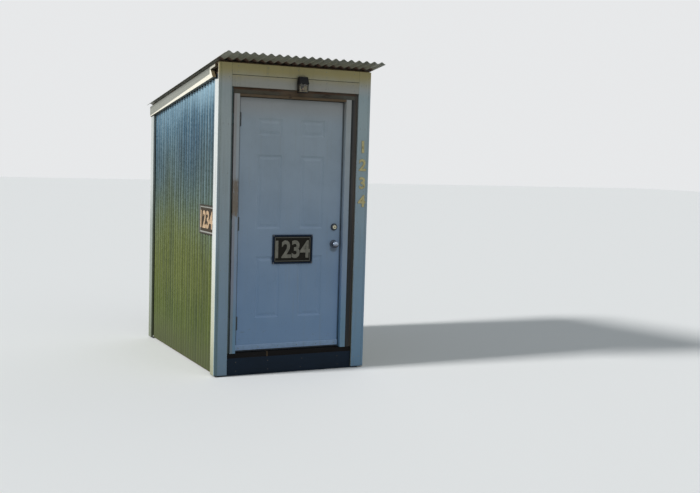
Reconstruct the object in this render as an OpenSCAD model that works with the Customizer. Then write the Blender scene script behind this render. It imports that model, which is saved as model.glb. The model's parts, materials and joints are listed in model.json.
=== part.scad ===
// Small timber-framed booth with corrugated steel walls and roof and a panelled front door.
// Millimetres. X runs to the right of someone facing the door, Y runs from the door to the back
// wall, Z is up. The origin is on the ground at the centre of the footprint.
// Pieces are drawn with Y = 0 at the face of the front boards and placed() moves them home.

/* [Timber frame] */
// Depth of the timber frame, from the front face of the posts to the back face of the rear posts
frame_d = 1842; // [1500:1:2400]
// Thickness of sawn framing timber
stud_t = 38; // [32:1:45]
// Width of studs, rafters, girts and square corner posts
stud_w = 89; // [75:1:110]
// Height of the floor joists and rims
rim_h = 140; // [110:1:200]
// Thickness of the floor planks
plank_t = 38; // [25:1:45]
// Width of a floor plank
plank_w = 140; // [90:1:200]
// Gap between floor planks
plank_gap = 3; // [2:0.5:8]
// Height of the door header
header_h = 140; // [110:1:200]
// Number of floor joists between the rims
joist_count = 3; // [1:2:5]
// Number of girts up each wall
girt_count = 3; // [2:1:5]
// Number of rafters between the two side rafters
rafter_count = 2; // [1:1:4]

/* [Boards] */
// Thickness of the painted boards
board_t = 19; // [16:1:25]
// Width of the boards over the door and of the rear fascia
board_w = 89; // [75:1:95]
// Seam between the two boards over the door
board_seam = 3; // [1:0.5:6]
// Width of the corner boards on the front and back
corner_w = 89; // [75:1:95]
// Width of the trims on the side walls, which cover the corner boards' edges
trim_w = 89; // [75:1:110]
// Height of the notch at the top of the front side trims
trim_notch = 129; // [115:1:200]
// Width of the strip of side trim that runs on up beside the notch
notch_strip = 19; // [12:1:30]
// Gap between the ground and the boards
board_foot = 10; // [5:1:30]
// Thickness of the rake boards under the roof's sloping edges
rake_t = 30; // [19:1:38]
// Distance from the front boards to the lower corner of a rake board's cut end
rake_start = 115; // [100:1:200]
// Height of the tongue that runs on past the rake board's cut end
tongue_h = 19; // [12:1:30]
// Length of that tongue past the cut end
tongue_l = 110; // [40:1:120]

/* [Corrugated sheets] */
// Pitch of the corrugations
pitch = 67.73; // [60:0.01:80]
// Depth of a sheet over its corrugations
wave_h = 18; // [14:0.5:22]
// Thickness of the sheet steel
sheet_t = 0.8; // [0.6:0.1:1.2]
// Gap between the bottom of the wall sheets and the ground
sheet_foot = 12; // [6:1:40]
// How far the wall sheets run up behind the rake boards and the rear fascia
sheet_lap = 25; // [15:1:50]
// Least distance from the corners of the frame to the edges of the side sheets
sheet_inset = 38; // [20:1:45]

/* [Roof] */
// Slope of the roof, falling to the back
roof_angle = 8.25; // [5:0.25:12]
// Depth of the rafters' top line below the top of the front boards
roof_drop = 5; // [4:1:12]
// Thickness of the purlins that carry the roof sheets
purlin_t = 19; // [16:1:38]
// Number of purlins
purlin_count = 4; // [3:1:6]
// How far the roof sheets reach past the front boards
front_overhang = 225; // [100:1:300]
// How far they reach past the rear boards
rear_overhang = 34; // [10:1:120]
// Least reach of the roof sheets past each side of the frame's boards
side_reach = 8; // [4:1:20]
// Shift of the roof sheets towards the left wall
roof_shift = 11; // [0:1:14]

/* [Door] */
// Width of the door slab
door_w = 908; // [760:1:960]
// Height of the door slab
door_h = 2007; // [1900:1:2100]
// Thickness of the door slab
door_t = 44.5; // [40:0.5:50]
// Running gap round the door slab
door_gap = 5; // [5:0.5:6]
// Thickness of the side jambs
jamb_t = 46; // [32:1:50]
// Depth of the jambs from front to back
jamb_d = 116; // [112:1:130]
// How far the jambs stand proud of the posts
jamb_proud = 7; // [3:1:12]
// Depth of the door face behind the jambs' front edges
door_recess = 40; // [36:1:44]
// Thickness of the head jamb
head_t = 18; // [15:1:25]
// Thickness of the stops that the door closes against
stop_t = 12; // [9:1:15]
// Depth of the stops from front to back
stop_d = 18; // [12:1:18]
// Thickness of the shims behind the left jamb
shim_t = 6; // [3:1:10]
// Height of the strip along the door's bottom edge
sweep_h = 54; // [35:1:70]
// Thickness of that strip
sweep_t = 5; // [3:0.5:5]

/* [Door panels] */
// Width of the outer stiles, up to the panels' edges
stile_w = 163; // [120:1:175]
// Width of a panel over its moulding
panel_w = 212; // [180:1:230]
// Height of the bottom pair of panels
low_panel_h = 495; // [400:1:520]
// Height of the middle pair of panels
mid_panel_h = 588; // [500:1:620]
// Height of the top pair of panels
top_panel_h = 137; // [100:1:160]
// Height of the bottom rail under the panels
bottom_rail = 264; // [220:1:280]
// Height of the lock rail between the bottom and middle panels
lock_rail = 219; // [200:1:240]
// Height of the rail between the middle and top panels
top_gap_rail = 149; // [120:1:170]
// Width of the sloped moulding round a panel
mould_w = 14; // [10:1:20]
// Depth of the moulding
mould_d = 7; // [4:0.5:9]
// Width of the flat groove between the moulding and the raised field
groove_w = 8; // [5:1:12]
// Width of the slope that rises to the raised field
field_slope = 18; // [12:1:24]
// Depth that the raised field stays below the door's face
field_drop = 1.5; // [1:0.5:3]

/* [Hinges and lock] */
// Radius of the hinge knuckles
knuckle_r = 7; // [6:0.5:7]
// Height of a hinge
hinge_h = 102; // [76:1:114]
// Radius of the hinge pin
pin_r = 3.5; // [3:0.25:4]
// Width of a hinge leaf
leaf_w = 32; // [28:1:34]
// Thickness of a hinge leaf
leaf_t = 2; // [1.6:0.1:2.2]
// Centre of the lowest hinge above the door's bottom edge
hinge_low = 228; // [150:1:260]
// Centre of the middle hinge above the door's bottom edge
hinge_mid = 1018; // [900:1:1080]
// Centre of the top hinge above the door's bottom edge
hinge_top = 1835; // [1700:1:1840]
// Distance of the knob's axis from the door's lock edge
backset = 60; // [60:0.5:70]
// Height of the knob above the door's bottom edge
knob_z = 851; // [800:1:900]
// Height of the deadbolt above the knob
bolt_rise = 140; // [120:1:160]
// Radius of the knob
knob_r = 27; // [24:0.5:29]
// Radius of the roses behind the knobs
rose_r = 33; // [30:0.5:36]
// Radius of the deadbolt's collar
collar_r = 29; // [25:0.5:32]

/* [Fittings] */
// Width of a sign plate
sign_w = 348; // [250:1:360]
// Height of a sign plate
sign_h = 233; // [160:1:240]
// Thickness of a sign plate
sign_t = 10; // [6:1:14]
// Width of the raised frame round a sign plate
sign_rim = 14; // [8:1:20]
// Height of the door sign's centre above the door's bottom edge
door_sign_rise = 813; // [720:1:830]
// Distance of the door sign's centre to the right of the door's middle
door_sign_shift = 28; // [-30:1:40]
// Height of the side sign's centre above the ground
side_sign_z = 1220; // [1000:1:1400]
// Width of the lamp's hood along its lower edge
lamp_w = 84; // [80:1:110]
// Width of the flat top of the hood
lamp_top_w = 70; // [50:1:78]
// Height of the lamp
lamp_h = 125; // [110:1:150]
// Height of its hood
hood_h = 56; // [40:1:60]
// Reach of the lamp from the wall
lamp_d = 50; // [48:1:90]
// Centre of the lamp to the right of the middle
lamp_x = 37; // [-60:1:60]
// How far the lamp hangs below the lower board over the door
lamp_drop = 20; // [-5:1:30]

/* [Hidden] */

white_paint = [0.86, 0.87, 0.87];
grey_timber = [0.38, 0.31, 0.25];
dark_paint = [0.16, 0.19, 0.24];
galvanised = [0.62, 0.67, 0.7];
roof_steel = [0.42, 0.43, 0.39];
steel = [0.7, 0.71, 0.72];

round_fn = 48;
seat_gap = 0.1;
lap_step = sheet_t + seat_gap;
sheet_room = wave_h + lap_step + seat_gap;

// Levels
floor_z = rim_h + plank_t;
door_z = floor_z + door_gap;
head_z = door_z + door_h + door_gap;
header_z = head_z + head_t;
header_top = header_z + header_h;
front_top = header_top + board_seam + board_w;

// Plan: the corner posts stand as far apart as the door, its jambs, the shims and the trimmer need
clear_w = shim_t + 2 * jamb_t + 2 * door_gap + door_w + stud_t;
post_in = clear_w / 2;
post_out = post_in + stud_w;
wall_out = post_out + sheet_room;
body_x = wall_out + board_t;
frame_y = board_t;
rear_y = frame_y + frame_d;
rear_board_y = rear_y + sheet_room;
body_d = rear_board_y + board_t;

// Door
jamb_y = frame_y - jamb_proud;
left_jamb_in = -post_in + shim_t + jamb_t;
right_jamb_in = post_in - stud_t - jamb_t;
slab_x0 = left_jamb_in + door_gap;
slab_x1 = slab_x0 + door_w;
slab_y = jamb_y + door_recess;
slab_back = slab_y + door_t;
door_mid = (slab_x0 + slab_x1) / 2;
bevel_angle = 3;
pin_x = left_jamb_in + knuckle_r + 0.5;
pin_y = slab_y - knuckle_r - 1.5;
lock_x = slab_x1 - backset;
lock_z = door_z + knob_z;
bolt_z = lock_z + bolt_rise;
edge_plate_t = 2;

// Roof: the rafters' top line falls from roof_z at Y = 0
roof_z = front_top - roof_drop;
fall = tan(roof_angle);
rafter_v = stud_w / cos(roof_angle);
purlin_out = wall_out + rake_t - 15;
roof_pitches = ceil(2 * (body_x + side_reach) / pitch);
roof_w = roof_pitches * pitch;
roof_x0 = -roof_w / 2 - roof_shift;

// Wall sheets
wave_steps = 12;
side_pitches = floor((frame_d - 2 * sheet_inset) / pitch);
side_sheet_y = frame_y + (frame_d - side_pitches * pitch) / 2;
side_split = ceil(side_pitches / 2);
rear_pitches = floor(2 * post_out / pitch);
rear_sheet_x = -rear_pitches * pitch / 2;
rear_split = ceil(rear_pitches / 2);

// Gap between the rear boards and the roof sheets' seat
roof_clear = 2;

function roof_at(y) = roof_z - fall * y;

fascia_top = roof_at(body_d) - roof_clear;
function wave(u) = (wave_h - sheet_t) * (1 - cos(360 * u / pitch)) / 2;

module placed() {
    translate([0, -body_d / 2, 0]) children();
}

module mirrored_pair() {
    children();
    mirror([1, 0, 0]) children();
}

// A box between two corners
module block(low, high) {
    translate(low) cube(high - low);
}

// An outline in Y and Z, run across from x0 to x1
module side_prism(outline, x0, x1) {
    translate([x0, 0, 0]) rotate([90, 0, 90]) linear_extrude(x1 - x0) polygon(outline);
}

// Everything below a line that falls with the roof, "drop" under the rafters' top line
module under_roof(drop) {
    y0 = -body_d;
    y1 = 2 * body_d;
    side_prism([[y0, -front_top], [y1, -front_top], [y1, roof_at(y1) - drop], [y0, roof_at(y0) - drop]],
        -2 * body_x, 2 * body_x);
}

// Section of a corrugated sheet from u0 to u1, in units of its pitch, standing "lift" off its seat
module wave_section(u0, u1, lift) {
    count = round((u1 - u0) * wave_steps);
    steps = [for (i = [0 : count]) (u0 + i / wave_steps) * pitch];
    polygon(concat(
        [for (u = steps) [u, wave(u) + lift]],
        [for (i = [count : -1 : 0]) [steps[i], wave(steps[i]) + lift + sheet_t]]));
}

// A wall sheet standing on the left side, with its corrugations facing out
module side_sheet(u0, u1, lift) {
    top = roof_at(side_sheet_y);
    color(galvanised) intersection() {
        translate([-post_out, side_sheet_y, sheet_foot]) rotate([0, 0, 90])
            linear_extrude(top - sheet_foot) wave_section(u0, u1, lift);
        under_roof(rafter_v - sheet_lap);
    }
}

module rear_sheet(u0, u1, lift) {
    top = fascia_top - board_w + sheet_lap;
    color(galvanised) translate([rear_sheet_x, rear_y, sheet_foot])
        linear_extrude(top - sheet_foot) wave_section(u0, u1, lift);
}

// A roof sheet lying on the purlins, run down the slope
module roof_sheet(u0, u1, lift) {
    s0 = -front_overhang / cos(roof_angle);
    s1 = (body_d + rear_overhang) / cos(roof_angle);
    color(roof_steel) translate([roof_x0, 0, roof_z]) rotate([-roof_angle, 0, 0])
        translate([0, s0, purlin_t + 2 * seat_gap]) mirror([0, 0, 1]) rotate([-90, 0, 0])
            linear_extrude(s1 - s0) wave_section(u0, u1, lift);
}

// Floor
module kick_board() {
    color(dark_paint) block([-post_out, frame_y, 0], [post_out, frame_y + stud_t, rim_h]);
}

module rear_rim() {
    color(grey_timber) block([-post_out, rear_y - stud_t, 0], [post_out, rear_y, rim_h]);
}

module side_rims() {
    color(grey_timber) mirrored_pair()
        block([post_out - stud_t, frame_y + stud_t, 0], [post_out, rear_y - stud_t, rim_h]);
}

module floor_joists() {
    reach = post_out - stud_t;
    color(grey_timber) for (i = [1 : joist_count]) {
        y = frame_y + frame_d * i / (joist_count + 1);
        block([-reach, y - stud_t / 2, 0], [reach, y + stud_t / 2, rim_h]);
    }
}

module floor_planks() {
    step = plank_w + plank_gap;
    color(grey_timber) for (y = [frame_y : step : rear_y - plank_gap - 10])
        block([-post_out, y, rim_h], [post_out, min(y + plank_w, rear_y), floor_z]);
}

// Posts, cut off under the side rafters
module post(y) {
    intersection() {
        block([post_in, y, floor_z], [post_out, y + stud_w, roof_at(y)]);
        under_roof(rafter_v + seat_gap);
    }
}

module front_posts() {
    color(grey_timber) mirrored_pair() post(frame_y);
}

module rear_posts() {
    color(grey_timber) mirrored_pair() post(rear_y - stud_w);
}

module trimmer_and_shims() {
    color(grey_timber) {
        block([post_in - stud_t, frame_y, floor_z], [post_in, frame_y + stud_w, header_z]);
        for (z = [hinge_low, hinge_mid, hinge_top])
            block([-post_in, frame_y, door_z + z - 40], [-post_in + shim_t, frame_y + stud_w, door_z + z + 40]);
    }
}

module door_header() {
    color(grey_timber) block([-post_in, frame_y, header_z], [post_in, frame_y + stud_t, header_top]);
}

// Rails between the side rafters, planed to the roof's slope on top
module front_top_rail() {
    y1 = frame_y + stud_t;
    reach = post_out - stud_t;
    color(grey_timber)
        side_prism([[frame_y, header_top], [y1, header_top], [y1, roof_at(y1)], [frame_y, roof_at(frame_y)]],
            -reach, reach);
}

module rear_top_rail() {
    y0 = rear_y - stud_t;
    reach = post_out - stud_t;
    color(grey_timber) side_prism([[y0, roof_at(y0) - rafter_v], [rear_y, roof_at(rear_y) - rafter_v],
        [rear_y, roof_at(rear_y)], [y0, roof_at(y0)]], -reach, reach);
}

function girt_z(i) = floor_z + (roof_at(rear_y) - rafter_v - floor_z) * i / (girt_count + 1);

module side_girts() {
    color(grey_timber) mirrored_pair() for (i = [1 : girt_count])
        block([post_out - stud_t, frame_y + stud_w, girt_z(i) - stud_w / 2],
            [post_out, rear_y - stud_w, girt_z(i) + stud_w / 2]);
}

module rear_girts() {
    color(grey_timber) for (i = [1 : girt_count])
        block([-post_in, rear_y - stud_t, girt_z(i) - stud_w / 2],
            [post_in, rear_y, girt_z(i) + stud_w / 2]);
}

// A rafter from y0 to y1, as deep as a stud is wide
module rafter(y0, y1, x) {
    side_prism([[y0, roof_at(y0) - rafter_v], [y1, roof_at(y1) - rafter_v], [y1, roof_at(y1)], [y0, roof_at(y0)]],
        x, x + stud_t);
}

module rafters() {
    inner = post_out - stud_t;
    color(grey_timber) {
        mirrored_pair() rafter(frame_y, rear_y, inner);
        for (i = [1 : rafter_count])
            rafter(frame_y + stud_t, rear_y - stud_t,
                -inner + 2 * inner * i / (rafter_count + 1) - stud_t / 2);
    }
}

module roof_purlins() {
    s0 = frame_y / cos(roof_angle);
    s1 = rear_y / cos(roof_angle) - stud_w;
    color(grey_timber) translate([0, 0, roof_z]) rotate([-roof_angle, 0, 0])
        for (i = [0 : purlin_count - 1])
            translate([-purlin_out, s0 + (s1 - s0) * i / (purlin_count - 1), seat_gap])
                cube([2 * purlin_out, stud_w, purlin_t]);
}

// Corrugated sheets: on each wall the second sheet laps over the first by one corrugation
module left_wall_sheet_front() {
    side_sheet(0, side_split + 0.5, 0);
}

module left_wall_sheet_rear() {
    side_sheet(side_split - 0.5, side_pitches, lap_step);
}

module right_wall_sheet_front() {
    mirror([1, 0, 0]) side_sheet(0, side_split + 0.5, 0);
}

module right_wall_sheet_rear() {
    mirror([1, 0, 0]) side_sheet(side_split - 0.5, side_pitches, lap_step);
}

module rear_wall_sheet_left() {
    rear_sheet(0, rear_split + 0.5, 0);
}

module rear_wall_sheet_right() {
    rear_sheet(rear_split - 0.5, rear_pitches, lap_step);
}

module roof_sheet_left() {
    roof_sheet(0, roof_pitches / 2 + 0.5, 0);
}

module roof_sheet_right() {
    roof_sheet(roof_pitches / 2 - 0.5, roof_pitches, lap_step);
}

// Rake board: its front end is cut back to a slope, with a tongue left along the top
module rake_boards() {
    cut_h = rafter_v - tongue_h;
    cut_y = rake_start + cut_h * 0.8;
    tip_y = cut_y - tongue_l;
    color(white_paint) mirrored_pair() side_prism([
        [rake_start, roof_at(rake_start) - rafter_v],
        [body_d, roof_at(body_d) - rafter_v],
        [body_d, roof_at(body_d)],
        [tip_y, roof_at(tip_y)],
        [tip_y, roof_at(tip_y) - tongue_h],
        [cut_y, roof_at(cut_y) - tongue_h]], wall_out, wall_out + rake_t);
}

// Painted boards
module front_upper_board() {
    reach = wall_out - corner_w;
    color(white_paint) block([-reach, 0, front_top - board_w], [reach, board_t, front_top]);
}

module front_lower_board() {
    reach = wall_out - corner_w;
    color(white_paint) block([-reach, 0, header_top - board_w], [reach, board_t, header_top]);
}

module front_corner_boards() {
    color(white_paint) mirrored_pair()
        block([wall_out - corner_w, 0, board_foot], [wall_out, board_t, front_top]);
}

// The front trims are notched at the top, where only a strip runs on beside the corner board
module side_corner_trims() {
    notch_z = front_top - trim_notch;
    color(white_paint) mirrored_pair() {
        side_prism([[0, board_foot], [trim_w, board_foot], [trim_w, notch_z], [notch_strip, notch_z],
            [notch_strip, front_top], [0, front_top]], wall_out, body_x);
        intersection() {
            block([wall_out, body_d - trim_w, board_foot], [body_x, body_d, front_top]);
            under_roof(rafter_v + seat_gap);
        }
    }
}

module rear_corner_boards() {
    color(white_paint) mirrored_pair() intersection() {
        block([wall_out - corner_w, rear_board_y, board_foot], [wall_out, body_d, front_top]);
        under_roof(roof_clear);
    }
}

module rear_fascia_board() {
    reach = wall_out - corner_w;
    color(white_paint) block([-reach, rear_board_y, fascia_top - board_w], [reach, body_d, fascia_top]);
}

// Door frame
module side_jambs() {
    color(white_paint) {
        block([left_jamb_in - jamb_t, jamb_y, floor_z], [left_jamb_in, jamb_y + jamb_d, header_z]);
        difference() {
            block([right_jamb_in, jamb_y, floor_z], [right_jamb_in + jamb_t, jamb_y + jamb_d, header_z]);
            for (z = [lock_z, bolt_z]) {
                strike_plate(z, seat_gap);
                strike_hole(z, 28);
            }
        }
    }
}

module head_jamb() {
    color(grey_timber) block([left_jamb_in, jamb_y, head_z], [right_jamb_in, jamb_y + jamb_d, header_z]);
}

module door_stops() {
    y0 = slab_back + door_gap;
    y1 = y0 + stop_d;
    color(white_paint) {
        block([left_jamb_in, y0, floor_z], [left_jamb_in + stop_t, y1, head_z]);
        block([right_jamb_in - stop_t, y0, floor_z], [right_jamb_in, y1, head_z]);
        block([left_jamb_in + stop_t + seat_gap, y0, head_z - stop_t],
            [right_jamb_in - stop_t - seat_gap, y1, head_z]);
    }
}

// Six-panel slab: sloped mouldings sink into the face and a raised field stands in each panel
panel_rows = [
    [bottom_rail, low_panel_h],
    [bottom_rail + low_panel_h + lock_rail, mid_panel_h],
    [bottom_rail + low_panel_h + lock_rail + mid_panel_h + top_gap_rail, top_panel_h]
];

// Side outline of the dish that a panel's moulding sinks into the face, across a panel "size" wide
function dish(size) = [[0, -1], [size, -1], [size, 0], [size - mould_w, mould_d], [mould_w, mould_d], [0, 0]];

// Side outline of the raised field, which widens from its flat top down past the groove's floor
function field(size, inset) = [
    [inset + field_slope, field_drop], [size - inset - field_slope, field_drop],
    [size - inset, mould_d], [size - inset, mould_d + 1], [inset, mould_d + 1], [inset, mould_d]];

// Y and Z outline from one drawn in Z and Y
function turned(outline) = [for (p = outline) [p[1], p[0]]];

// The hollow that one panel's moulding and groove take out of the door's face
module panel_hollow(w, h) {
    inset = mould_w + groove_w;
    difference() {
        intersection() {
            linear_extrude(h) polygon(dish(w));
            side_prism(turned(dish(h)), 0, w);
        }
        intersection() {
            linear_extrude(h) polygon(field(w, inset));
            side_prism(turned(field(h, inset)), 0, w);
        }
    }
}

module door_slab() {
    bevel = door_t * tan(bevel_angle);
    color(white_paint) difference() {
        translate([0, 0, door_z]) linear_extrude(door_h) polygon([
            [slab_x0, slab_y], [slab_x1, slab_y], [slab_x1 - bevel, slab_back], [slab_x0, slab_back]]);
        for (row = panel_rows) for (x = [slab_x0 + stile_w, slab_x1 - stile_w - panel_w]) {
            translate([x, slab_y, door_z + row[0]]) panel_hollow(panel_w, row[1]);
            translate([x, slab_back, door_z + row[0]]) mirror([0, 1, 0]) panel_hollow(panel_w, row[1]);
        }
        translate([lock_x, slab_y - 1, lock_z]) rotate([-90, 0, 0])
            cylinder(h = door_t + 2, r = spindle_r + 2, $fn = round_fn);
        for (z = [lock_z, bolt_z]) edge_plate(z, seat_gap);
    }
}

// Sweep: a thin lip below a strip whose top edge is eased to shed water
lip_h = 12;
lip_t = 2.5;
sweep_top = 1.5;

module door_sweep() {
    color(white_paint) side_prism([
        [slab_y, door_z], [slab_y - lip_t, door_z], [slab_y - lip_t, door_z + lip_h],
        [slab_y - sweep_t, door_z + lip_h], [slab_y - sweep_t, door_z + sweep_h - sweep_t],
        [slab_y - sweep_top, door_z + sweep_h], [slab_y, door_z + sweep_h]], slab_x0 + 3, slab_x1 - 3);
}

// Butt hinges: the frame's leaf carries three knuckles and the pin, the door's leaf carries two
hinge_zs = [hinge_low, hinge_mid, hinge_top];
knuckle_gap = 0.5;
knuckle_h = (hinge_h - 4 * knuckle_gap) / 5;
pin_clear = 0.05;

module knuckle(i, bore_r) {
    z = -hinge_h / 2 + i * (knuckle_h + knuckle_gap);
    translate([0, 0, z]) difference() {
        cylinder(h = knuckle_h, r = knuckle_r, $fn = round_fn);
        if (bore_r > 0) translate([0, 0, -1]) cylinder(h = knuckle_h + 2, r = bore_r, $fn = round_fn);
    }
}

// The strip that ties knuckle i to its leaf, from x0 to x0 + leaf_t
module knuckle_tie(i, x0) {
    z = -hinge_h / 2 + i * (knuckle_h + knuckle_gap);
    difference() {
        translate([x0, 0, z]) cube([leaf_t, knuckle_r + 1.5, knuckle_h]);
        translate([0, 0, z - 1]) cylinder(h = knuckle_h + 2, r = knuckle_r - 1, $fn = round_fn);
    }
}

module hinge_frame_leaf() {
    leaf_x = left_jamb_in - pin_x + seat_gap;
    for (i = [0, 2, 4]) {
        knuckle(i, 0);
        knuckle_tie(i, leaf_x);
    }
    translate([0, 0, -hinge_h / 2 - 3]) cylinder(h = hinge_h + 6, r = pin_r, $fn = round_fn);
    for (z = [-hinge_h / 2 - 3, hinge_h / 2]) translate([0, 0, z]) cylinder(h = 3, r = pin_r + 1, $fn = round_fn);
    translate([leaf_x, knuckle_r + 1.5, -hinge_h / 2]) cube([leaf_t, leaf_w, hinge_h]);
}

module hinge_door_leaf() {
    leaf_x = slab_x0 - pin_x - leaf_t - seat_gap;
    for (i = [1, 3]) {
        knuckle(i, pin_r + pin_clear);
        knuckle_tie(i, leaf_x);
    }
    translate([leaf_x, knuckle_r + 1.5, -hinge_h / 2]) cube([leaf_t, leaf_w, hinge_h]);
}

module hinge_frame_leaves() {
    color(steel) for (z = hinge_zs) translate([pin_x, pin_y, door_z + z]) hinge_frame_leaf();
}

module hinge_door_leaves() {
    color(steel) for (z = hinge_zs) translate([pin_x, pin_y, door_z + z]) hinge_door_leaf();
}

// Lock: roses and edge plates stay with the door, the knobs turn on one spindle through them
spindle_r = 4;
neck_r = 12;
rose_t = 7;

module rose() {
    rotate_extrude($fn = round_fn) polygon([[neck_r + 0.5, 0], [rose_r, 0], [rose_r, 2],
        [rose_r - 3, rose_t - 2], [rose_r - 9, rose_t], [neck_r + 0.5, rose_t]]);
}

// A plate let into the door's bevelled edge, or its pocket, which is larger by "room" all round
module edge_plate(z, room) {
    translate([slab_x1, slab_y, z]) rotate([0, 0, bevel_angle])
        translate([-edge_plate_t - room, door_t / 2 - 12.5 - room, -28 - room])
            cube([edge_plate_t + room + (room > 0 ? 1 : 0), 25 + 2 * room, 56 + 2 * room]);
}

module lock_plates() {
    color(steel) {
        translate([lock_x, slab_y, lock_z]) rotate([90, 0, 0]) rose();
        translate([lock_x, slab_back, lock_z]) rotate([-90, 0, 0]) rose();
        for (z = [lock_z, bolt_z]) edge_plate(z, 0);
    }
}

// Knob outline from the door's face outwards, along Z
module knob() {
    len = 62;
    head_z0 = 26;
    rotate_extrude($fn = round_fn) polygon(concat(
        [[0, 0], [neck_r, 0], [neck_r, rose_t + 6], [neck_r - 3, head_z0 - 4]],
        [for (a = [-70 : 10 : 80]) [knob_r * cos(a), (len + head_z0) / 2 + (len - head_z0) / 2 * sin(a)]],
        [[6, len], [0, len]]));
}

module door_knobs() {
    color(steel) {
        translate([lock_x, slab_y - 0.3, lock_z]) rotate([90, 0, 0]) knob();
        translate([lock_x, slab_back + 0.3, lock_z]) rotate([-90, 0, 0]) knob();
        translate([lock_x, slab_y - 1, lock_z]) rotate([-90, 0, 0])
            cylinder(h = door_t + 2, r = spindle_r, $fn = round_fn);
    }
}

// Deadbolt: a tapered collar with a keyed cylinder outside, a plate with a thumb turn inside
module deadbolt() {
    color([0.72, 0.62, 0.36]) {
        translate([lock_x, slab_y, bolt_z]) rotate([90, 0, 0]) difference() {
            rotate_extrude($fn = round_fn) polygon([[0, 0], [collar_r, 0], [collar_r, 3], [collar_r - 6, 15],
                [15, 17], [14, 19], [0, 19]]);
            translate([-1, -4.5, 16]) cube([2, 9, 4]);
        }
        translate([lock_x, slab_back, bolt_z]) rotate([-90, 0, 0]) {
            cylinder(h = 6, r = collar_r, $fn = round_fn);
            translate([-3.5, -16, 6]) cube([7, 32, 14]);
        }
    }
}

// A strike plate let into the lock-side jamb, or its pocket, with the hole behind it for the bolt
strike_t = 1.5;

module strike_hole(z, depth) {
    translate([right_jamb_in - 1, slab_y + door_t / 2 - 8, z - 12]) cube([depth + 1, 16, 24]);
}

module strike_plate(z, room) {
    extra = room > 0 ? 1 : 0;
    translate([right_jamb_in - extra, slab_y + door_t / 2 - 17 - room, z - 30 - room])
        cube([strike_t + room + extra, 34 + 2 * room, 60 + 2 * room]);
}

module strike_plates() {
    color(steel) for (z = [lock_z, bolt_z]) difference() {
        strike_plate(z, 0);
        strike_hole(z, strike_t + 1);
    }
}

// Signs: a flat plate with a raised frame
module sign_plate() {
    difference() {
        cube([sign_w, sign_t, sign_h]);
        translate([sign_rim, -1, sign_rim]) cube([sign_w - 2 * sign_rim, sign_t / 2, sign_h - 2 * sign_rim]);
    }
}

module door_sign() {
    color([0.3, 0.22, 0.16])
        translate([door_mid + door_sign_shift - sign_w / 2, slab_y - sign_t, door_z + door_sign_rise - sign_h / 2])
            sign_plate();
}

// Gap between the side sign and the white trim before it
sign_gap = 12;

module side_sign() {
    x = -post_out - wave_h - seat_gap - sign_t;
    color([0.62, 0.38, 0.2]) translate([x, trim_w + sign_gap + sign_w, side_sign_z - sign_h / 2])
        rotate([0, 0, -90]) sign_plate();
}

// Lamp: a lantern against the wall, with a flared hood, three panes below it and a closed bottom
lamp_z = header_top - board_w - lamp_drop;
brim = 4;
back_t = 8;
lamp_post = 5;
lamp_floor_t = 6;
pane_t = 2;
pane_inset = 1.5;
hood_side = 1.5;
hood_front = 10;
hood_lean = 6;
case_w = lamp_w - 2 * hood_side;
case_d = lamp_d - hood_front;
case_h = lamp_h - hood_h;

// Socket cone, in the middle of the room between the back plate and the front pane
pane_y = case_d - pane_inset - pane_t;
socket_h = 31;
socket_tip_r = 6;
socket_r = (pane_y - back_t) / 2 - 1;

module lamp_housing() {
    color([0.1, 0.1, 0.11]) translate([lamp_x, 0, lamp_z]) {
        translate([-case_w / 2, -back_t, 0]) cube([case_w, back_t, case_h]);
        translate([-case_w / 2, -case_d, 0]) cube([case_w, case_d, lamp_floor_t]);
        for (x = [-case_w / 2, case_w / 2 - lamp_post])
            translate([x, -case_d, 0]) cube([lamp_post, lamp_post, case_h]);
        translate([0, -(pane_y + back_t) / 2, case_h - socket_h])
            cylinder(h = socket_h + 1, r1 = socket_tip_r, r2 = socket_r, $fn = round_fn);
        intersection() {
            translate([0, 0, case_h]) rotate([90, 0, 0]) linear_extrude(lamp_d) polygon([
                [-lamp_w / 2, 0], [lamp_w / 2, 0], [lamp_w / 2, brim], [lamp_top_w / 2, hood_h],
                [-lamp_top_w / 2, hood_h], [-lamp_w / 2, brim]]);
            side_prism([[0, case_h], [-lamp_d, case_h], [-lamp_d, case_h + brim],
                [-lamp_d + (lamp_w - lamp_top_w) / 2 + hood_lean, lamp_h], [0, lamp_h]], -lamp_w, lamp_w);
        }
    }
}

module lamp_glass() {
    pane_h = case_h - lamp_floor_t - 2 * seat_gap;
    front_w = case_w - 2 * lamp_post - 2 * seat_gap;
    side_d = case_d - lamp_post - back_t - 2 * seat_gap;
    color([0.85, 0.84, 0.78, 0.5]) translate([lamp_x, 0, lamp_z + lamp_floor_t + seat_gap]) {
        translate([-front_w / 2, -case_d + pane_inset, 0]) cube([front_w, pane_t, pane_h]);
        mirrored_pair() translate([case_w / 2 - pane_inset - pane_t, -back_t - seat_gap - side_d, 0])
            cube([pane_t, side_d, pane_h]);
    }
}

placed() kick_board();
placed() rear_rim();
placed() side_rims();
placed() floor_joists();
placed() floor_planks();
placed() front_posts();
placed() rear_posts();
placed() trimmer_and_shims();
placed() door_header();
placed() front_top_rail();
placed() rear_top_rail();
placed() side_girts();
placed() rear_girts();
placed() rafters();
placed() roof_purlins();
placed() left_wall_sheet_front();
placed() left_wall_sheet_rear();
placed() right_wall_sheet_front();
placed() right_wall_sheet_rear();
placed() rear_wall_sheet_left();
placed() rear_wall_sheet_right();
placed() roof_sheet_left();
placed() roof_sheet_right();
placed() rake_boards();
placed() front_upper_board();
placed() front_lower_board();
placed() front_corner_boards();
placed() side_corner_trims();
placed() rear_corner_boards();
placed() rear_fascia_board();
placed() side_jambs();
placed() head_jamb();
placed() door_stops();
placed() hinge_frame_leaves();
placed() strike_plates();
placed() lamp_housing();
placed() lamp_glass();
placed() side_sign();
placed() door_slab();
placed() door_sweep();
placed() hinge_door_leaves();
placed() lock_plates();
placed() deadbolt();
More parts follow.
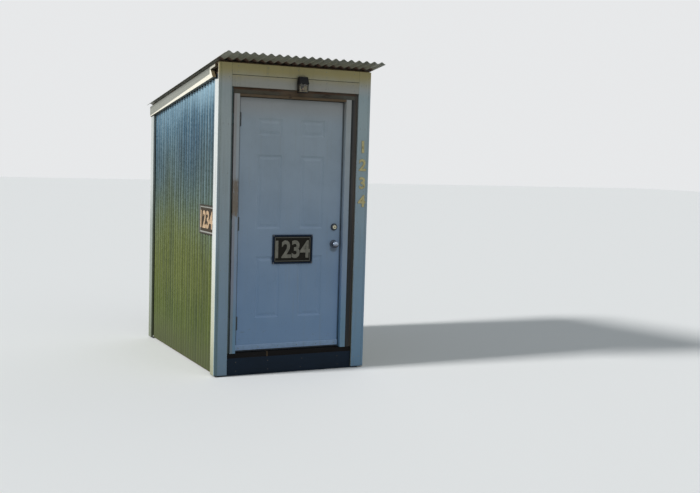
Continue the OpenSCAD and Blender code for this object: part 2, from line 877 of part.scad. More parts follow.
placed() door_sign();
placed() door_knobs();
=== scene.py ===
import json
import math
import random

import bmesh
import bpy
from mathutils import Matrix, Vector


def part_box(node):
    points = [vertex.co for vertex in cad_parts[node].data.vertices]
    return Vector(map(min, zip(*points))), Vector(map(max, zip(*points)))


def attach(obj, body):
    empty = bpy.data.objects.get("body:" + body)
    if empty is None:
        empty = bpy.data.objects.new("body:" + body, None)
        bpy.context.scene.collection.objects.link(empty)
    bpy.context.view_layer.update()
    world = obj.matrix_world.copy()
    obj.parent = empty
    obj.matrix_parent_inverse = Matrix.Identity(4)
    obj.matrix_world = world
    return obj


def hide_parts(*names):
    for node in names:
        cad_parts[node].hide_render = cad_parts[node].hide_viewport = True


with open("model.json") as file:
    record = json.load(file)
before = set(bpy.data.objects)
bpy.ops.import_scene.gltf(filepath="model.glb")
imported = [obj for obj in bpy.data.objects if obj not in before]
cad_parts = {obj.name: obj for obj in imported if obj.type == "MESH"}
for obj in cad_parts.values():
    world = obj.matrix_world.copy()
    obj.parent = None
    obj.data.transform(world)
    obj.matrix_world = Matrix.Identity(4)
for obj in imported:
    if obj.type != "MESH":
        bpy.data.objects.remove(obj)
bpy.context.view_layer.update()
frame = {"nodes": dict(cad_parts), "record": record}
chance = random.Random(7)

MM = 0.001
BODIES = frame["record"]["behaviour"]["bodies"]
BODY_OF = {node: body for body, nodes in BODIES.items() for node in nodes}

# Sizes and places of the solids, and of what lies on them, in metres
PITCH = 67.73 * MM
SHEET_T = 0.8 * MM
WAVE_H = 18 * MM
STUD_W = 89 * MM
STUD_HALF = 19 * MM
JAMB_T = 46 * MM
LEAF_T = 2.1 * MM
PLATE_LINE = 22.25 * MM
LOCK_EDGE_ANGLE = math.radians(3)
ROOF_ANGLE = math.radians(8.25)
PURLIN_SEAT = 19.2 * MM
SIDE_PITCHES = 26
REAR_PITCHES = 18
ROOF_PITCHES = 20
FRONT_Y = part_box("front_upper_board")[0].y
REAR_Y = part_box("rear_fascia_board")[1].y
SIDE_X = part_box("side_corner_trims")[1].x
WALL_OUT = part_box("front_corner_boards")[1].x
ROOF_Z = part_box("front_corner_boards")[1].z - 5 * MM
NOTCH_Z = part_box("front_corner_boards")[1].z - 129 * MM
RAKE_FOOT = ROOF_Z - STUD_W / math.cos(ROOF_ANGLE)
SHEET_FACES = {"X": 616.8 * MM, "Y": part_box("rear_girts")[1].y + SHEET_T}
# where painted shadow lines lie along the door's hinge and lock edges
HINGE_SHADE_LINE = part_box("door_slab")[0].x + 23 * MM
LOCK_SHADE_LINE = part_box("door_slab")[1].x - 9 * MM
LAMP_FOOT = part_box("lamp_glass")[0].z
HEADER_TOP, LOWER_TOP = (corner.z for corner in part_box("front_lower_board"))
SWEEP_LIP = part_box("door_sweep")[0].z + 12 * MM
BOLT_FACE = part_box("door_slab")[0].y
SIGN_SIZE = (348 * MM, 233 * MM)
LAP_STEP = 0.9 * MM
PURLIN_LINES = (63.7 * MM, 654.5 * MM, 1245.3 * MM, 1836.0 * MM)
SCREW_LEVELS = (70 * MM, 653.6 * MM, 1129.1 * MM, 1604.7 * MM)
HINGE_LEVELS = tuple(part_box("door_slab")[0].z + rise * MM for rise in (228, 1018, 1835))
LOCK_LEVELS = tuple(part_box("door_slab")[0].z + rise * MM for rise in (851, 991))
SILL_CRACK_X = -201 * MM
LOCK_STUD_X = 505 * MM
JAMB_RIM_X = -496 * MM
NUMBER_X = 598 * MM
NUMBER_TOP = 1881 * MM
NUMBER_STEP = 148 * MM


def middle(node):
    low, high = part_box(node)
    return (low + high) / 2


DOOR_SIGN = (middle("door_sign").x, middle("door_sign").z)
SIDE_SIGN = (middle("side_sign").y, middle("side_sign").z)


# Camera, floor and lights
def make_camera():
    """The camera stands where the booth's own edges say the photo was taken from."""
    data = bpy.data.cameras.new("camera")
    data.lens = 51.5
    data.sensor_width = 36.0
    data.clip_end = 200.0
    camera = bpy.data.objects.new("camera", data)
    camera.location = (-3.188, -8.3015, 1.723)
    turn = Vector((0.091, -0.464, 0.009))
    world_to_eye = Matrix.Rotation(turn.length, 3, turn) @ Matrix(((1, 0, 0), (0, 0, -1), (0, 1, 0)))
    eye = world_to_eye.transposed() @ Matrix.Diagonal((1, -1, -1))
    camera.rotation_euler = eye.to_euler()
    bpy.context.scene.collection.objects.link(camera)
    bpy.context.scene.camera = camera


def tint(red, green, blue):
    """A colour as it looks on screen, 0 to 255, turned into the shader's linear scale."""
    levels = [c / 255 for c in (red, green, blue)]
    return tuple(c / 12.92 if c < 0.04045 else ((c + 0.055) / 1.055) ** 2.4 for c in levels) + (1.0,)


def shade(colour, share):
    """The same colour, darker or lighter."""
    return tint(*[level * share for level in colour])


class Recipe:
    """The nodes of one material or group, added and joined by short calls."""

    def __init__(self, tree):
        self.tree = tree

    def feed(self, socket, value):
        if isinstance(value, bpy.types.NodeSocket):
            self.tree.links.new(value, socket)
        elif value is not None:
            socket.default_value = value

    def node(self, kind, settings=None, **feeds):
        made = self.tree.nodes.new("ShaderNode" + kind)
        for key, value in (settings or {}).items():
            setattr(made, key, value)
        for key, value in feeds.items():
            self.feed(made.inputs[key.replace("_", " ")], value)
        return made

    def calc(self, operation, first, second=None, third=None):
        made = self.node("Math", {"operation": operation})
        for socket, value in zip(made.inputs, (first, second, third)):
            self.feed(socket, value)
        return made.outputs[0]

    def scaled(self, value, factor, start):
        """The value times a factor, added to a start."""
        return self.calc("MULTIPLY_ADD", value, factor, start)

    def both(self, *masks):
        """The product of several masks."""
        result = masks[0]
        for mask in masks[1:]:
            result = self.calc("MULTIPLY", result, mask)
        return result

    def either(self, first, second):
        """The stronger of two masks."""
        return self.calc("MAXIMUM", first, second)

    def without(self, mask):
        """The mask turned round."""
        return self.calc("SUBTRACT", 1.0, mask)

    def mix(self, share, under, over, mode="MIX"):
        made = self.node("Mix", {"data_type": "RGBA", "blend_type": mode})
        self.feed(made.inputs[0], share)
        self.feed(made.inputs[6], under)
        self.feed(made.inputs[7], over)
        return made.outputs[2]

    def stain(self, mask, strength, under, over):
        """Colour laid over another where the mask says, at part of its strength."""
        return self.mix(self.calc("MULTIPLY", mask, strength), under, over)

    def span(self, value, low, high, start=0.0, end=1.0):
        """A smooth step from start to end as the value goes from low to high."""
        made = self.node("MapRange", {"interpolation_type": "SMOOTHSTEP"}, From_Min=low, From_Max=high,
                         To_Min=start, To_Max=end)
        self.feed(made.inputs[0], value)
        return made.outputs[0]

    def mapped(self, where, stretch=(1, 1, 1), turn=(0, 0, 0)):
        return self.node("Mapping", Vector=where, Scale=stretch, Rotation=turn).outputs[0]

    def noise(self, where, size, detail, rough, stretch=None, warp=0.0):
        if stretch:
            where = self.mapped(where, stretch)
        return self.node("TexNoise", Vector=where, Scale=size, Detail=detail, Roughness=rough,
                         Distortion=warp).outputs[0]

    def streaks(self, where, stretch, detail, rough, warp=0.0):
        """Noise drawn out along the axis with the smallest number of the stretch."""
        return self.noise(where, 1.0, detail, rough, stretch, warp)

    def cells(self, where, size):
        return self.node("TexVoronoi", {"feature": "F1"}, Vector=where, Scale=size).outputs

    def relief(self, height, depth, strength, under=None):
        made = self.node("Bump", Height=height, Distance=depth, Strength=strength)
        if under is not None:
            self.feed(made.inputs["Normal"], under)
        return made.outputs[0]

    def group(self, tree, **feeds):
        made = self.node("Group", {"node_tree": tree}, **feeds)
        return {socket.name: socket for socket in made.outputs}

    def edges(self, radius):
        """The mask of worn outer edges."""
        return self.group(worn_edges, Radius=radius)["Edge"]

    def dirt_and_shade(self, distance):
        """The mask of dirt and painted shade in corners and grooves."""
        return self.group(corner_dirt_and_shade, Distance=distance)["Grime"]

    def along(self, where, axis):
        """One coordinate of the place, "X", "Y" or "Z"."""
        return self.node("SeparateXYZ", Vector=where).outputs[axis]

    def level(self, where):
        """Height over the ground."""
        return self.along(where, "Z")

    def away_from(self, value, centre):
        """Distance from a value, the same to both sides."""
        return self.calc("ABSOLUTE", self.calc("SUBTRACT", value, centre))

    def normal_along(self, axis):
        """How far the surface faces along "X", "Y" or "Z", from -1 to 1."""
        return self.along(self.node("NewGeometry").outputs["Normal"], axis)

    def each_board(self):
        """A value of its own for each separate board of a piece."""
        return self.node("NewGeometry").outputs["Random Per Island"]

    def roof_lines(self, where):
        """Distance behind the front, and the height carried forward to it along the roof's slope."""
        back = self.calc("SUBTRACT", self.along(where, "Y"), FRONT_Y)
        return back, self.scaled(back, math.tan(ROOF_ANGLE), self.level(where))

    def frame_line(self, where, axis, centre, half, width):
        """1 on a thin upright rectangle's outline; half is its half width and half height."""
        across = self.away_from(self.along(where, axis), centre[0])
        up = self.away_from(self.level(where), centre[1])
        out = self.either(self.calc("SUBTRACT", across, half[0]), self.calc("SUBTRACT", up, half[1]))
        return self.span(self.calc("ABSOLUTE", out), width * 0.4, width * 0.6, 1.0, 0.0)


def new_material(name, **plain):
    """A material with one Principled shader; plain values go onto the shader's own sockets."""
    material = bpy.data.materials.new(name)
    material.use_nodes = True
    material.node_tree.nodes.clear()
    recipe = Recipe(material.node_tree)
    shader = recipe.node("BsdfPrincipled", **plain)
    output = recipe.node("OutputMaterial")
    recipe.feed(output.inputs["Surface"], shader.outputs[0])
    where = recipe.node("TexCoord").outputs["Object"]
    return material, recipe, shader.inputs, where


def new_group(name, inputs, outputs):
    """A shader node group; inputs are (name, type, value) and outputs are names of float sockets."""
    tree = bpy.data.node_groups.new(name, "ShaderNodeTree")
    for label, kind, value in inputs:
        socket = tree.interface.new_socket(label, in_out="INPUT", socket_type="NodeSocket" + kind)
        if value is not None:
            socket.default_value = value
    for label in outputs:
        tree.interface.new_socket(label, in_out="OUTPUT", socket_type="NodeSocketFloat")
    given = tree.nodes.new("NodeGroupInput").outputs
    result = tree.nodes.new("NodeGroupOutput").inputs
    return tree, Recipe(tree), given, result


def make_lights():
    """A plain pale room: the key from the left leaves the front in open shade, as in the photo."""
    for name, energy, size, toward in (
        ("key_light", 3.3, 8, (-0.85, 0.04, 0.5)),
        ("fill_light", 0.25, 50, (0.1, -0.7, 0.7)),
        ("back_light", 0.45, 70, (0.65, 0.6, 0.45)),
    ):
        data = bpy.data.lights.new(name, "SUN")
        data.energy = energy
        data.angle = math.radians(size)
        lamp = bpy.data.objects.new(name, data)
        lamp.rotation_euler = Vector(toward).to_track_quat("Z", "Y").to_euler()
        bpy.context.scene.collection.objects.link(lamp)

    world = bpy.data.worlds.new("pale_room")
    world.use_nodes = True
    world.node_tree.nodes.clear()
    recipe = Recipe(world.node_tree)
    around = recipe.node("Background", Color=(0.80, 0.92, 1.0, 1.0), Strength=0.24)
    seen = recipe.node("Background", Color=(0.80, 0.81, 0.82, 1.0), Strength=1.0)
    shown = recipe.node("MixShader")
    recipe.feed(shown.inputs[0], seen_by_eye(recipe))
    recipe.feed(shown.inputs[1], around.outputs[0])
    recipe.feed(shown.inputs[2], seen.outputs[0])
    output = recipe.node("OutputWorld")
    recipe.feed(output.inputs["Surface"], shown.outputs[0])
    bpy.context.scene.world = world


def seen_by_eye(recipe):
    """1 where the camera, a reflection or a pane of glass looks, 0 for light on the object."""
    path = recipe.node("LightPath").outputs
    direct = recipe.either(path["Is Camera Ray"], path["Is Glossy Ray"])
    return recipe.either(direct, path["Is Transmission Ray"])


def make_floor():
    """A pale floor that keeps the shadow; it throws little light back up, as grass does."""
    bm = bmesh.new()
    bmesh.ops.create_grid(bm, x_segments=1, y_segments=1, size=60.0)
    mesh = bpy.data.meshes.new("floor")
    bm.to_mesh(mesh)
    bm.free()
    floor = bpy.data.objects.new("floor", mesh)
    floor.location.z = -0.0005
    bpy.context.scene.collection.objects.link(floor)
    material = bpy.data.materials.new("pale_floor")
    material.use_nodes = True
    material.node_tree.nodes.clear()
    recipe = Recipe(material.node_tree)
    seen = recipe.node("BsdfDiffuse", Color=(0.86, 0.86, 0.85, 1.0))
    bounced = recipe.node("BsdfDiffuse", Color=(0.25, 0.26, 0.24, 1.0))
    shown = recipe.node("MixShader")
    recipe.feed(shown.inputs[0], seen_by_eye(recipe))
    recipe.feed(shown.inputs[1], bounced.outputs[0])
    recipe.feed(shown.inputs[2], seen.outputs[0])
    recipe.feed(recipe.node("OutputMaterial").inputs["Surface"], shown.outputs[0])
    mesh.materials.append(material)


# Effects that several materials share
def make_timber_figure():
    """Figure, fibre and knots of sawn timber whose grain runs along the vector's X."""
    tree, recipe, given, result = new_group(
        "timber_figure", [("Vector", "Vector", None), ("Seed", "Float", 0.0)], ["Figure", "Fibre", "Knot"])
    seed = given["Seed"]
    away = recipe.node("CombineXYZ")
    for axis, stride in (("X", 7.3), ("Y", 3.1), ("Z", 5.7)):
        recipe.feed(away.inputs[axis], recipe.calc("MULTIPLY", seed, stride))
    where = recipe.node("VectorMath", {"operation": "ADD"})
    recipe.feed(where.inputs[0], given["Vector"])
    recipe.feed(where.inputs[1], away.outputs[0])
    where = where.outputs[0]
    knots = recipe.cells(where, 6.0)["Distance"]
    knot = recipe.span(knots, 0.05, 0.11, 1.0, 0.0)
    rings = recipe.streaks(where, (0.55, 13.0, 13.0), 2.0, 0.5, 0.7)
    around = recipe.span(knots, 0.05, 0.4, 0.35, 0.0)
    rings = recipe.calc("SINE", recipe.calc("MULTIPLY", recipe.calc("ADD", rings, around), 62.0))
    recipe.feed(result["Figure"], recipe.scaled(rings, 0.5, 0.5))
    recipe.feed(result["Fibre"], recipe.streaks(where, (7.0, 330.0, 330.0), 3.0, 0.6))
    recipe.feed(result["Knot"], knot)
    return tree


def make_outdoor_wear():
    """Where rain, soil and time leave marks: splash at the foot, runs down, broad patches, specks."""
    tree, recipe, given, result = new_group(
        "outdoor_wear", [("Vector", "Vector", None)], ["Splash", "Runs", "Patches", "Specks"])
    where = given["Vector"]
    patches = recipe.noise(where, 2.3, 5.0, 0.6)
    fine = recipe.noise(where, 19.0, 4.0, 0.65)
    level = recipe.level(where)
    uneven = recipe.scaled(fine, -0.22, recipe.scaled(patches, -0.16, level))
    splash = recipe.span(uneven, -0.22, 0.22, 1.0, 0.0)
    runs = recipe.streaks(where, (38.0, 38.0, 1.1), 3.0, 0.6)
    runs = recipe.both(recipe.span(runs, 0.5, 0.78), recipe.span(patches, 0.36, 0.62))
    specks = recipe.cells(where, 95.0)
    rare = recipe.span(recipe.node("SeparateColor", Color=specks["Color"]).outputs[0], 0.80, 0.82)
    speck = recipe.both(recipe.span(specks["Distance"], 0.12, 0.22, 1.0, 0.0), rare)
    recipe.feed(result["Splash"], splash)
    recipe.feed(result["Runs"], runs)
    recipe.feed(result["Patches"], recipe.span(patches, 0.3, 0.7))
    recipe.feed(result["Specks"], speck)
    return tree


def make_worn_edges():
    """Strong on outer edges within the given radius."""
    tree, recipe, given, result = new_group("worn_edges", [("Radius", "Float", 0.003)], ["Edge"])
    rounded = recipe.node("Bevel", {"samples": 4}, Radius=given["Radius"]).outputs[0]
    plain = recipe.node("NewGeometry").outputs["Normal"]
    match = recipe.node("VectorMath", {"operation": "DOT_PRODUCT"})
    recipe.feed(match.inputs[0], rounded)
    recipe.feed(match.inputs[1], plain)
    recipe.feed(result["Edge"], recipe.span(match.outputs["Value"], 0.995, 0.86, 0.0, 1.0))
    return tree


def make_corner_dirt_and_shade():
    """Strong in corners and grooves narrower than the given distance: ambient occlusion, used as dirt and
    painted shade.
    """
    tree, recipe, given, result = new_group("corner_dirt_and_shade", [("Distance", "Float", 0.02)], ["Grime"])
    shade = recipe.node("AmbientOcclusion", {"samples": 6}, Distance=given["Distance"]).outputs["AO"]
    recipe.feed(result["Grime"], recipe.span(shade, 0.95, 0.45, 0.0, 1.0))
    return tree


def make_zinc_skin():
    """Spangle and fine roll lines of a zinc coat; the lines run along the vector's X."""
    tree, recipe, given, result = new_group(
        "zinc_skin", [("Vector", "Vector", None), ("Scale", "Float", 90.0)], ["Spangle", "Lines"])
    flakes = recipe.cells(given["Vector"], given["Scale"])["Color"]
    recipe.feed(result["Spangle"], recipe.node("SeparateColor", Color=flakes).outputs[1])
    recipe.feed(result["Lines"], recipe.streaks(given["Vector"], (1.3, 120.0, 120.0), 4.0, 0.65))
    return tree


timber_figure = make_timber_figure()
outdoor_wear = make_outdoor_wear()
worn_edges = make_worn_edges()
corner_dirt_and_shade = make_corner_dirt_and_shade()
zinc_skin = make_zinc_skin()

# Turns that bring a board's length onto X
RUNS = {"x": (0, 0, 0), "y": (0, 0, -math.pi / 2), "z": (0, math.pi / 2, 0)}


# Materials
def white_boards(name, run):
    """Old white gloss on softwood: grain shows, edges are chipped, tops under the eaves have yellowed. The
    front faces carry painted blue shade, the sunlit sides painted light bounced from below, the rake painted
    sunlight, and the notch and the rear trim's foot painted shadow.
    """
    material, recipe, shader, where = new_material(name, IOR=1.46)
    board = recipe.each_board()
    wood = recipe.group(timber_figure, Vector=recipe.mapped(where, turn=RUNS[run]), Seed=board)
    wear = recipe.group(outdoor_wear, Vector=where)
    edge = recipe.edges(0.0035)
    dirt_and_shade = recipe.dirt_and_shade(0.03)
    level = recipe.level(where)
    back = recipe.along(where, "Y")
    breakup = recipe.noise(where, 60.0, 4.0, 0.7)

    paint = recipe.stain(board, 0.5, tint(224, 226, 224), tint(214, 218, 219))
    paint = recipe.stain(wear["Patches"], 0.35, paint, tint(200, 205, 203))
    paint = recipe.stain(wood["Figure"], 0.08, paint, tint(166, 166, 158))
    # painted blue shade on the front faces, stronger lower down
    low = recipe.span(level, 0.1, 2.1, 0.75, 0.0)
    in_shade = recipe.span(back, FRONT_Y + 0.004, FRONT_Y + 0.012, 1.0, 0.0)
    paint = recipe.mix(recipe.both(low, in_shade), paint, tint(134, 173, 210))
    # painted shade: the front faces darker and bluer, more so on the right; on the level boards only the
    # lower board
    right = recipe.span(recipe.along(where, "X"), -0.2, 0.3)
    front_shade_tone = recipe.mix(right, (0.88, 0.95, 0.98, 1.0), (0.79, 0.93, 1.0, 1.0))
    front_shade_share = recipe.either(recipe.span(level, 0.4, 1.2, 0.6, 1.0), right)
    front_shade_share = recipe.both(in_shade, front_shade_share, recipe.span(level, 2.32, 2.22))
    if run == "x":
        front_shade_tone = (0.89, 0.83, 0.76, 1.0)
        front_shade_share = recipe.both(in_shade, recipe.span(level, LOWER_TOP + 0.003, LOWER_TOP))
    paint = recipe.mix(front_shade_share, paint, front_shade_tone, "MULTIPLY")
    if run == "y":
        # painted sunlight: the rake's paint lighter and warmer
        paint = recipe.mix(0.8, paint, tint(252, 244, 222))
        paint = rake_shade(recipe, paint, where, breakup)
    else:
        # painted light bounced up onto the sunlit sides, yellower lower down
        warm = recipe.both(recipe.span(level, 0.1, 1.3, 0.6, 0.0), recipe.without(in_shade))
        paint = recipe.mix(warm, paint, tint(184, 182, 140))
        aged = recipe.span(recipe.scaled(wear["Patches"], 0.03, level), 2.30, 2.42)
        aged = recipe.both(aged, recipe.scaled(in_shade, 0.62, 0.26))
        paint = recipe.mix(aged, paint, tint(224, 204, 134))
        # painted shadow on the side faces in the notch under the rake
        aside = recipe.calc("ABSOLUTE", recipe.along(where, "X"))
        notch_shadow = recipe.both(recipe.span(level, NOTCH_Z - 0.004, NOTCH_Z + 0.001),
                              recipe.span(aside, SIDE_X - 0.022, SIDE_X - 0.018),
                              recipe.span(back, 0.0, -0.1), recipe.without(in_shade))
        paint = recipe.stain(notch_shadow, 0.85, paint, tint(52, 42, 32))
        # painted shadow on the rear trim's lower part
        far = recipe.both(recipe.span(back, 0.70, 0.86), recipe.span(back, REAR_Y - 0.004, REAR_Y - 0.012),
                          recipe.span(level, 1.50, 1.00, 0.36, 0.77))
        paint = recipe.mix(far, paint, tint(116, 130, 122))
        # painted shade: the sunlit sides darker and yellower towards the foot
        foot = recipe.both(recipe.span(level, 1.0, 0.4), recipe.without(in_shade))
        paint = recipe.mix(foot, paint, (0.88, 0.88, 0.84, 1.0), "MULTIPLY")
        outer = recipe.span(recipe.along(where, "X"), 0.014 - WALL_OUT, 0.008 - WALL_OUT)
        outer = recipe.both(outer, in_shade, recipe.span(level, 1.1, 0.7, 0.25, 1.0))
        paint = recipe.mix(outer, paint, (0.70, 0.75, 0.66, 1.0), "MULTIPLY")
    paint = recipe.stain(wear["Runs"], 0.30, paint, tint(140, 140, 128))
    # dirt and painted shade in corners and grooves
    paint = recipe.stain(dirt_and_shade, 0.60, paint, tint(84, 82, 72))
    paint = recipe.stain(wear["Specks"], 0.5, paint, tint(105, 98, 84))
    splash = recipe.both(wear["Splash"], recipe.scaled(in_shade, -0.38, 0.55))
    splash = recipe.both(splash, recipe.scaled(recipe.both(right, in_shade), -0.9, 1.0))
    paint = recipe.mix(splash, paint, tint(106, 110, 84))
    chipped = recipe.span(recipe.scaled(edge, 0.32, breakup), 0.75, 0.80)
    bare = recipe.mix(wood["Fibre"], tint(84, 76, 66), tint(128, 118, 102))
    recipe.feed(shader["Base Color"], recipe.mix(chipped, paint, bare))

    rough = recipe.scaled(wear["Patches"], 0.16, 0.38)
    rough = recipe.scaled(recipe.either(chipped, wear["Splash"]), 0.3, rough)
    recipe.feed(shader["Roughness"], rough)
    grain = recipe.scaled(wood["Figure"], 0.35, recipe.calc("MULTIPLY", wood["Fibre"], 0.5))
    normal = recipe.relief(grain, 0.0005, 0.5)
    recipe.feed(shader["Normal"], recipe.relief(chipped, -0.0004, 0.8, normal))
    return material


def rake_shade(recipe, paint, where, breakup):
    """Painted shadow of the roof along the upper half of a rake board, painted shade towards the roof and on
    its underside, and a bare sawn end.
    """
    back, line = recipe.roof_lines(where)
    under_roof = recipe.calc("SUBTRACT", line, ROOF_Z)
    ragged = recipe.scaled(breakup, 0.005, under_roof)
    widening = recipe.scaled(back, 0.0175, ragged)
    # painted shadow of the roof on the upper half, wider towards the back
    grey = recipe.both(recipe.span(widening, -0.049, -0.044, 0.0, 0.88), recipe.span(back, 0.17, 0.20))
    paint = recipe.mix(grey, paint, tint(110, 114, 106))
    # painted shade darkening towards the roof
    dark = recipe.span(ragged, -0.030, 0.004, 0.0, 0.6)
    paint = recipe.mix(dark, paint, tint(66, 68, 60))
    # painted shade on the underside
    below = recipe.span(recipe.normal_along("Z"), -0.5, -0.8)
    paint = recipe.stain(below, 0.85, paint, tint(66, 56, 40))
    sawn = recipe.span(recipe.normal_along("Y"), -0.3, -0.5)
    fresh = recipe.mix(breakup, tint(96, 78, 44), tint(150, 128, 84))
    return recipe.stain(sawn, 0.9, paint, fresh)


def bare_timber(name, run, fresh, old, greyed, greying=0.55):
    """Framing timber: growth rings, fibre and knots, with painted shade where it shows in the narrow gaps at
    the front.
    """
    material, recipe, shader, where = new_material(name, IOR=1.45)
    board = recipe.each_board()
    wood = recipe.group(timber_figure, Vector=recipe.mapped(where, turn=RUNS[run]), Seed=board)
    wear = recipe.group(outdoor_wear, Vector=where)
    dirt_and_shade = recipe.dirt_and_shade(0.03)
    edge = recipe.edges(0.004)

    colour = recipe.mix(recipe.scaled(board, 0.5, 0.2), tint(*fresh), tint(*old))
    colour = recipe.stain(wood["Figure"], 0.38, colour, shade(old, 0.62))
    colour = recipe.stain(wood["Fibre"], 0.35, colour, shade(old, 0.78))
    colour = recipe.stain(wear["Patches"], greying, colour, tint(*greyed))
    colour = recipe.stain(wear["Runs"], 0.35, colour, tint(40, 34, 30))
    colour = recipe.stain(wood["Knot"], 0.75, colour, tint(48, 32, 22))
    # dirt and painted shade in corners and grooves
    colour = recipe.stain(dirt_and_shade, 0.5, colour, tint(30, 26, 22))
    colour = recipe.stain(edge, 0.12, colour, tint(150, 134, 110))
    across = recipe.along(where, "X")
    if name == "old_level":
        ends = recipe.scaled(wear["Patches"], 0.12, across)
        colour = recipe.mix(recipe.span(ends, 0.02, 0.14, 0.0, 0.5), colour, tint(88, 86, 78))
        colour = recipe.mix(recipe.span(ends, 0.40, 0.50, 0.0, 0.5), colour, tint(122, 122, 114))
        colour = recipe.mix(recipe.span(ends, -0.12, -0.26, 0.0, 0.35), colour, tint(104, 90, 66))
        top = recipe.span(recipe.level(where), HEADER_TOP - 0.026, HEADER_TOP - 0.012, 0.0, 0.8)
        colour = recipe.mix(top, colour, tint(98, 66, 46))
        worn = recipe.scaled(wear["Patches"], -0.1, recipe.calc("ABSOLUTE", across))
        colour = recipe.mix(recipe.span(worn, 0.16, 0.04, 0.0, 0.7), colour, tint(122, 98, 76))
        damp = recipe.streaks(where, (7.0, 7.0, 26.0), 4.0, 0.6)
        colour = recipe.mix(recipe.span(damp, 0.50, 0.62, 0.0, 0.6), colour, tint(96, 94, 84))
        colour = recipe.mix(recipe.span(damp, 0.44, 0.34, 0.0, 0.6), colour, tint(54, 40, 30))
    if run == "z":
        # painted shade in the narrow gaps at the front, lighter on the stud beyond the lock-side jamb
        front = recipe.span(recipe.along(where, "Y"), FRONT_Y + 0.026, FRONT_Y + 0.020)
        painted = recipe.mix(recipe.span(across, -0.1, 0.1), tint(92, 112, 118), tint(54, 56, 58))
        beyond_jamb = recipe.span(across, LOCK_STUD_X, LOCK_STUD_X + 0.010)
        less_shaded = recipe.both(beyond_jamb, recipe.span(recipe.level(where), 0.9, 1.5))
        painted = recipe.mix(less_shaded, painted, tint(94, 90, 88))
        colour = recipe.stain(front, 0.85, colour, painted)
    colour = recipe.stain(wear["Splash"], 0.35, colour, tint(62, 58, 42))
    recipe.feed(shader["Base Color"], colour)
    recipe.feed(shader["Roughness"], recipe.scaled(wood["Figure"], -0.12, 0.86))
    height = recipe.scaled(wood["Figure"], 0.5, recipe.calc("MULTIPLY", wood["Fibre"], 0.8))
    recipe.feed(shader["Normal"], recipe.relief(height, 0.0012, 0.7))
    return material


def floor_deck():
    """Floor planks: walked grey-brown, with the sill edge under the door black with wet and old paint."""
    material, recipe, shader, where = new_material("floor_deck", IOR=1.45, Specular_IOR_Level=0.18)
    board = recipe.each_board()
    wood = recipe.group(timber_figure, Vector=where, Seed=board)
    dirt_and_shade = recipe.dirt_and_shade(0.02)
    broad = recipe.noise(where, 4.0, 5.0, 0.6)
    colour = recipe.mix(board, tint(152, 132, 106), tint(126, 108, 88))
    colour = recipe.stain(wood["Figure"], 0.35, colour, tint(84, 68, 54))
    colour = recipe.stain(wood["Fibre"], 0.3, colour, tint(104, 92, 76))
    colour = recipe.mix(recipe.span(broad, 0.42, 0.66, 0.0, 0.6), colour, tint(118, 112, 102))
    colour = recipe.stain(wood["Knot"], 0.75, colour, tint(52, 36, 26))
    # dirt and painted shade in corners and grooves
    colour = recipe.stain(dirt_and_shade, 0.6, colour, tint(34, 30, 26))
    across = recipe.along(where, "X")
    back = recipe.along(where, "Y")
    sill = recipe.span(recipe.scaled(broad, 0.02, back), FRONT_Y + 0.110, FRONT_Y + 0.095)
    old_paint = recipe.mix(wood["Fibre"], tint(9, 9, 10), tint(23, 20, 19))
    joint = recipe.span(recipe.away_from(across, SILL_CRACK_X), 0.004, 0.009, 0.5, 0.0)
    old_paint = recipe.mix(joint, old_paint, tint(120, 100, 78))
    recipe.feed(shader["Base Color"], recipe.mix(sill, colour, old_paint))
    recipe.feed(shader["Roughness"], recipe.scaled(broad, 0.25, 0.6))
    height = recipe.scaled(wood["Figure"], 0.5, recipe.calc("MULTIPLY", wood["Fibre"], 0.8))
    recipe.feed(shader["Normal"], recipe.relief(height, 0.001, 0.7))
    return material


def dark_kick_paint():
    """Slate-blue paint on the plank under the door, scuffed by boots and dusted with soil."""
    material, recipe, shader, where = new_material("dark_kick_paint", IOR=1.47, Specular_IOR_Level=0.18)
    wood = recipe.group(timber_figure, Vector=where, Seed=0.4)
    wear = recipe.group(outdoor_wear, Vector=where)
    edge = recipe.edges(0.005)
    breakup = recipe.noise(where, 42.0, 5.0, 0.7)
    scuffs = recipe.span(recipe.streaks(where, (9.0, 60.0, 120.0), 3.0, 0.6), 0.64, 0.76)
    paint = recipe.stain(wear["Patches"], 0.6, tint(20, 37, 55), tint(28, 48, 69))
    paint = recipe.stain(wood["Figure"], 0.16, paint, tint(18, 26, 38))
    paint = recipe.stain(scuffs, 0.2, paint, tint(70, 80, 90))
    paint = recipe.stain(wear["Splash"], 0.12, paint, tint(72, 70, 62))
    chipped = recipe.span(recipe.scaled(edge, 0.24, breakup), 0.78, 0.83)
    recipe.feed(shader["Base Color"], recipe.mix(chipped, paint, tint(94, 86, 74)))
    rough = recipe.either(wear["Splash"], scuffs)
    recipe.feed(shader["Roughness"], recipe.scaled(rough, 0.2, 0.5))
    height = recipe.scaled(wood["Fibre"], 0.5, wood["Figure"])
    normal = recipe.relief(height, 0.0006, 0.5)
    recipe.feed(shader["Normal"], recipe.relief(chipped, -0.0005, 0.8, normal))
    return material


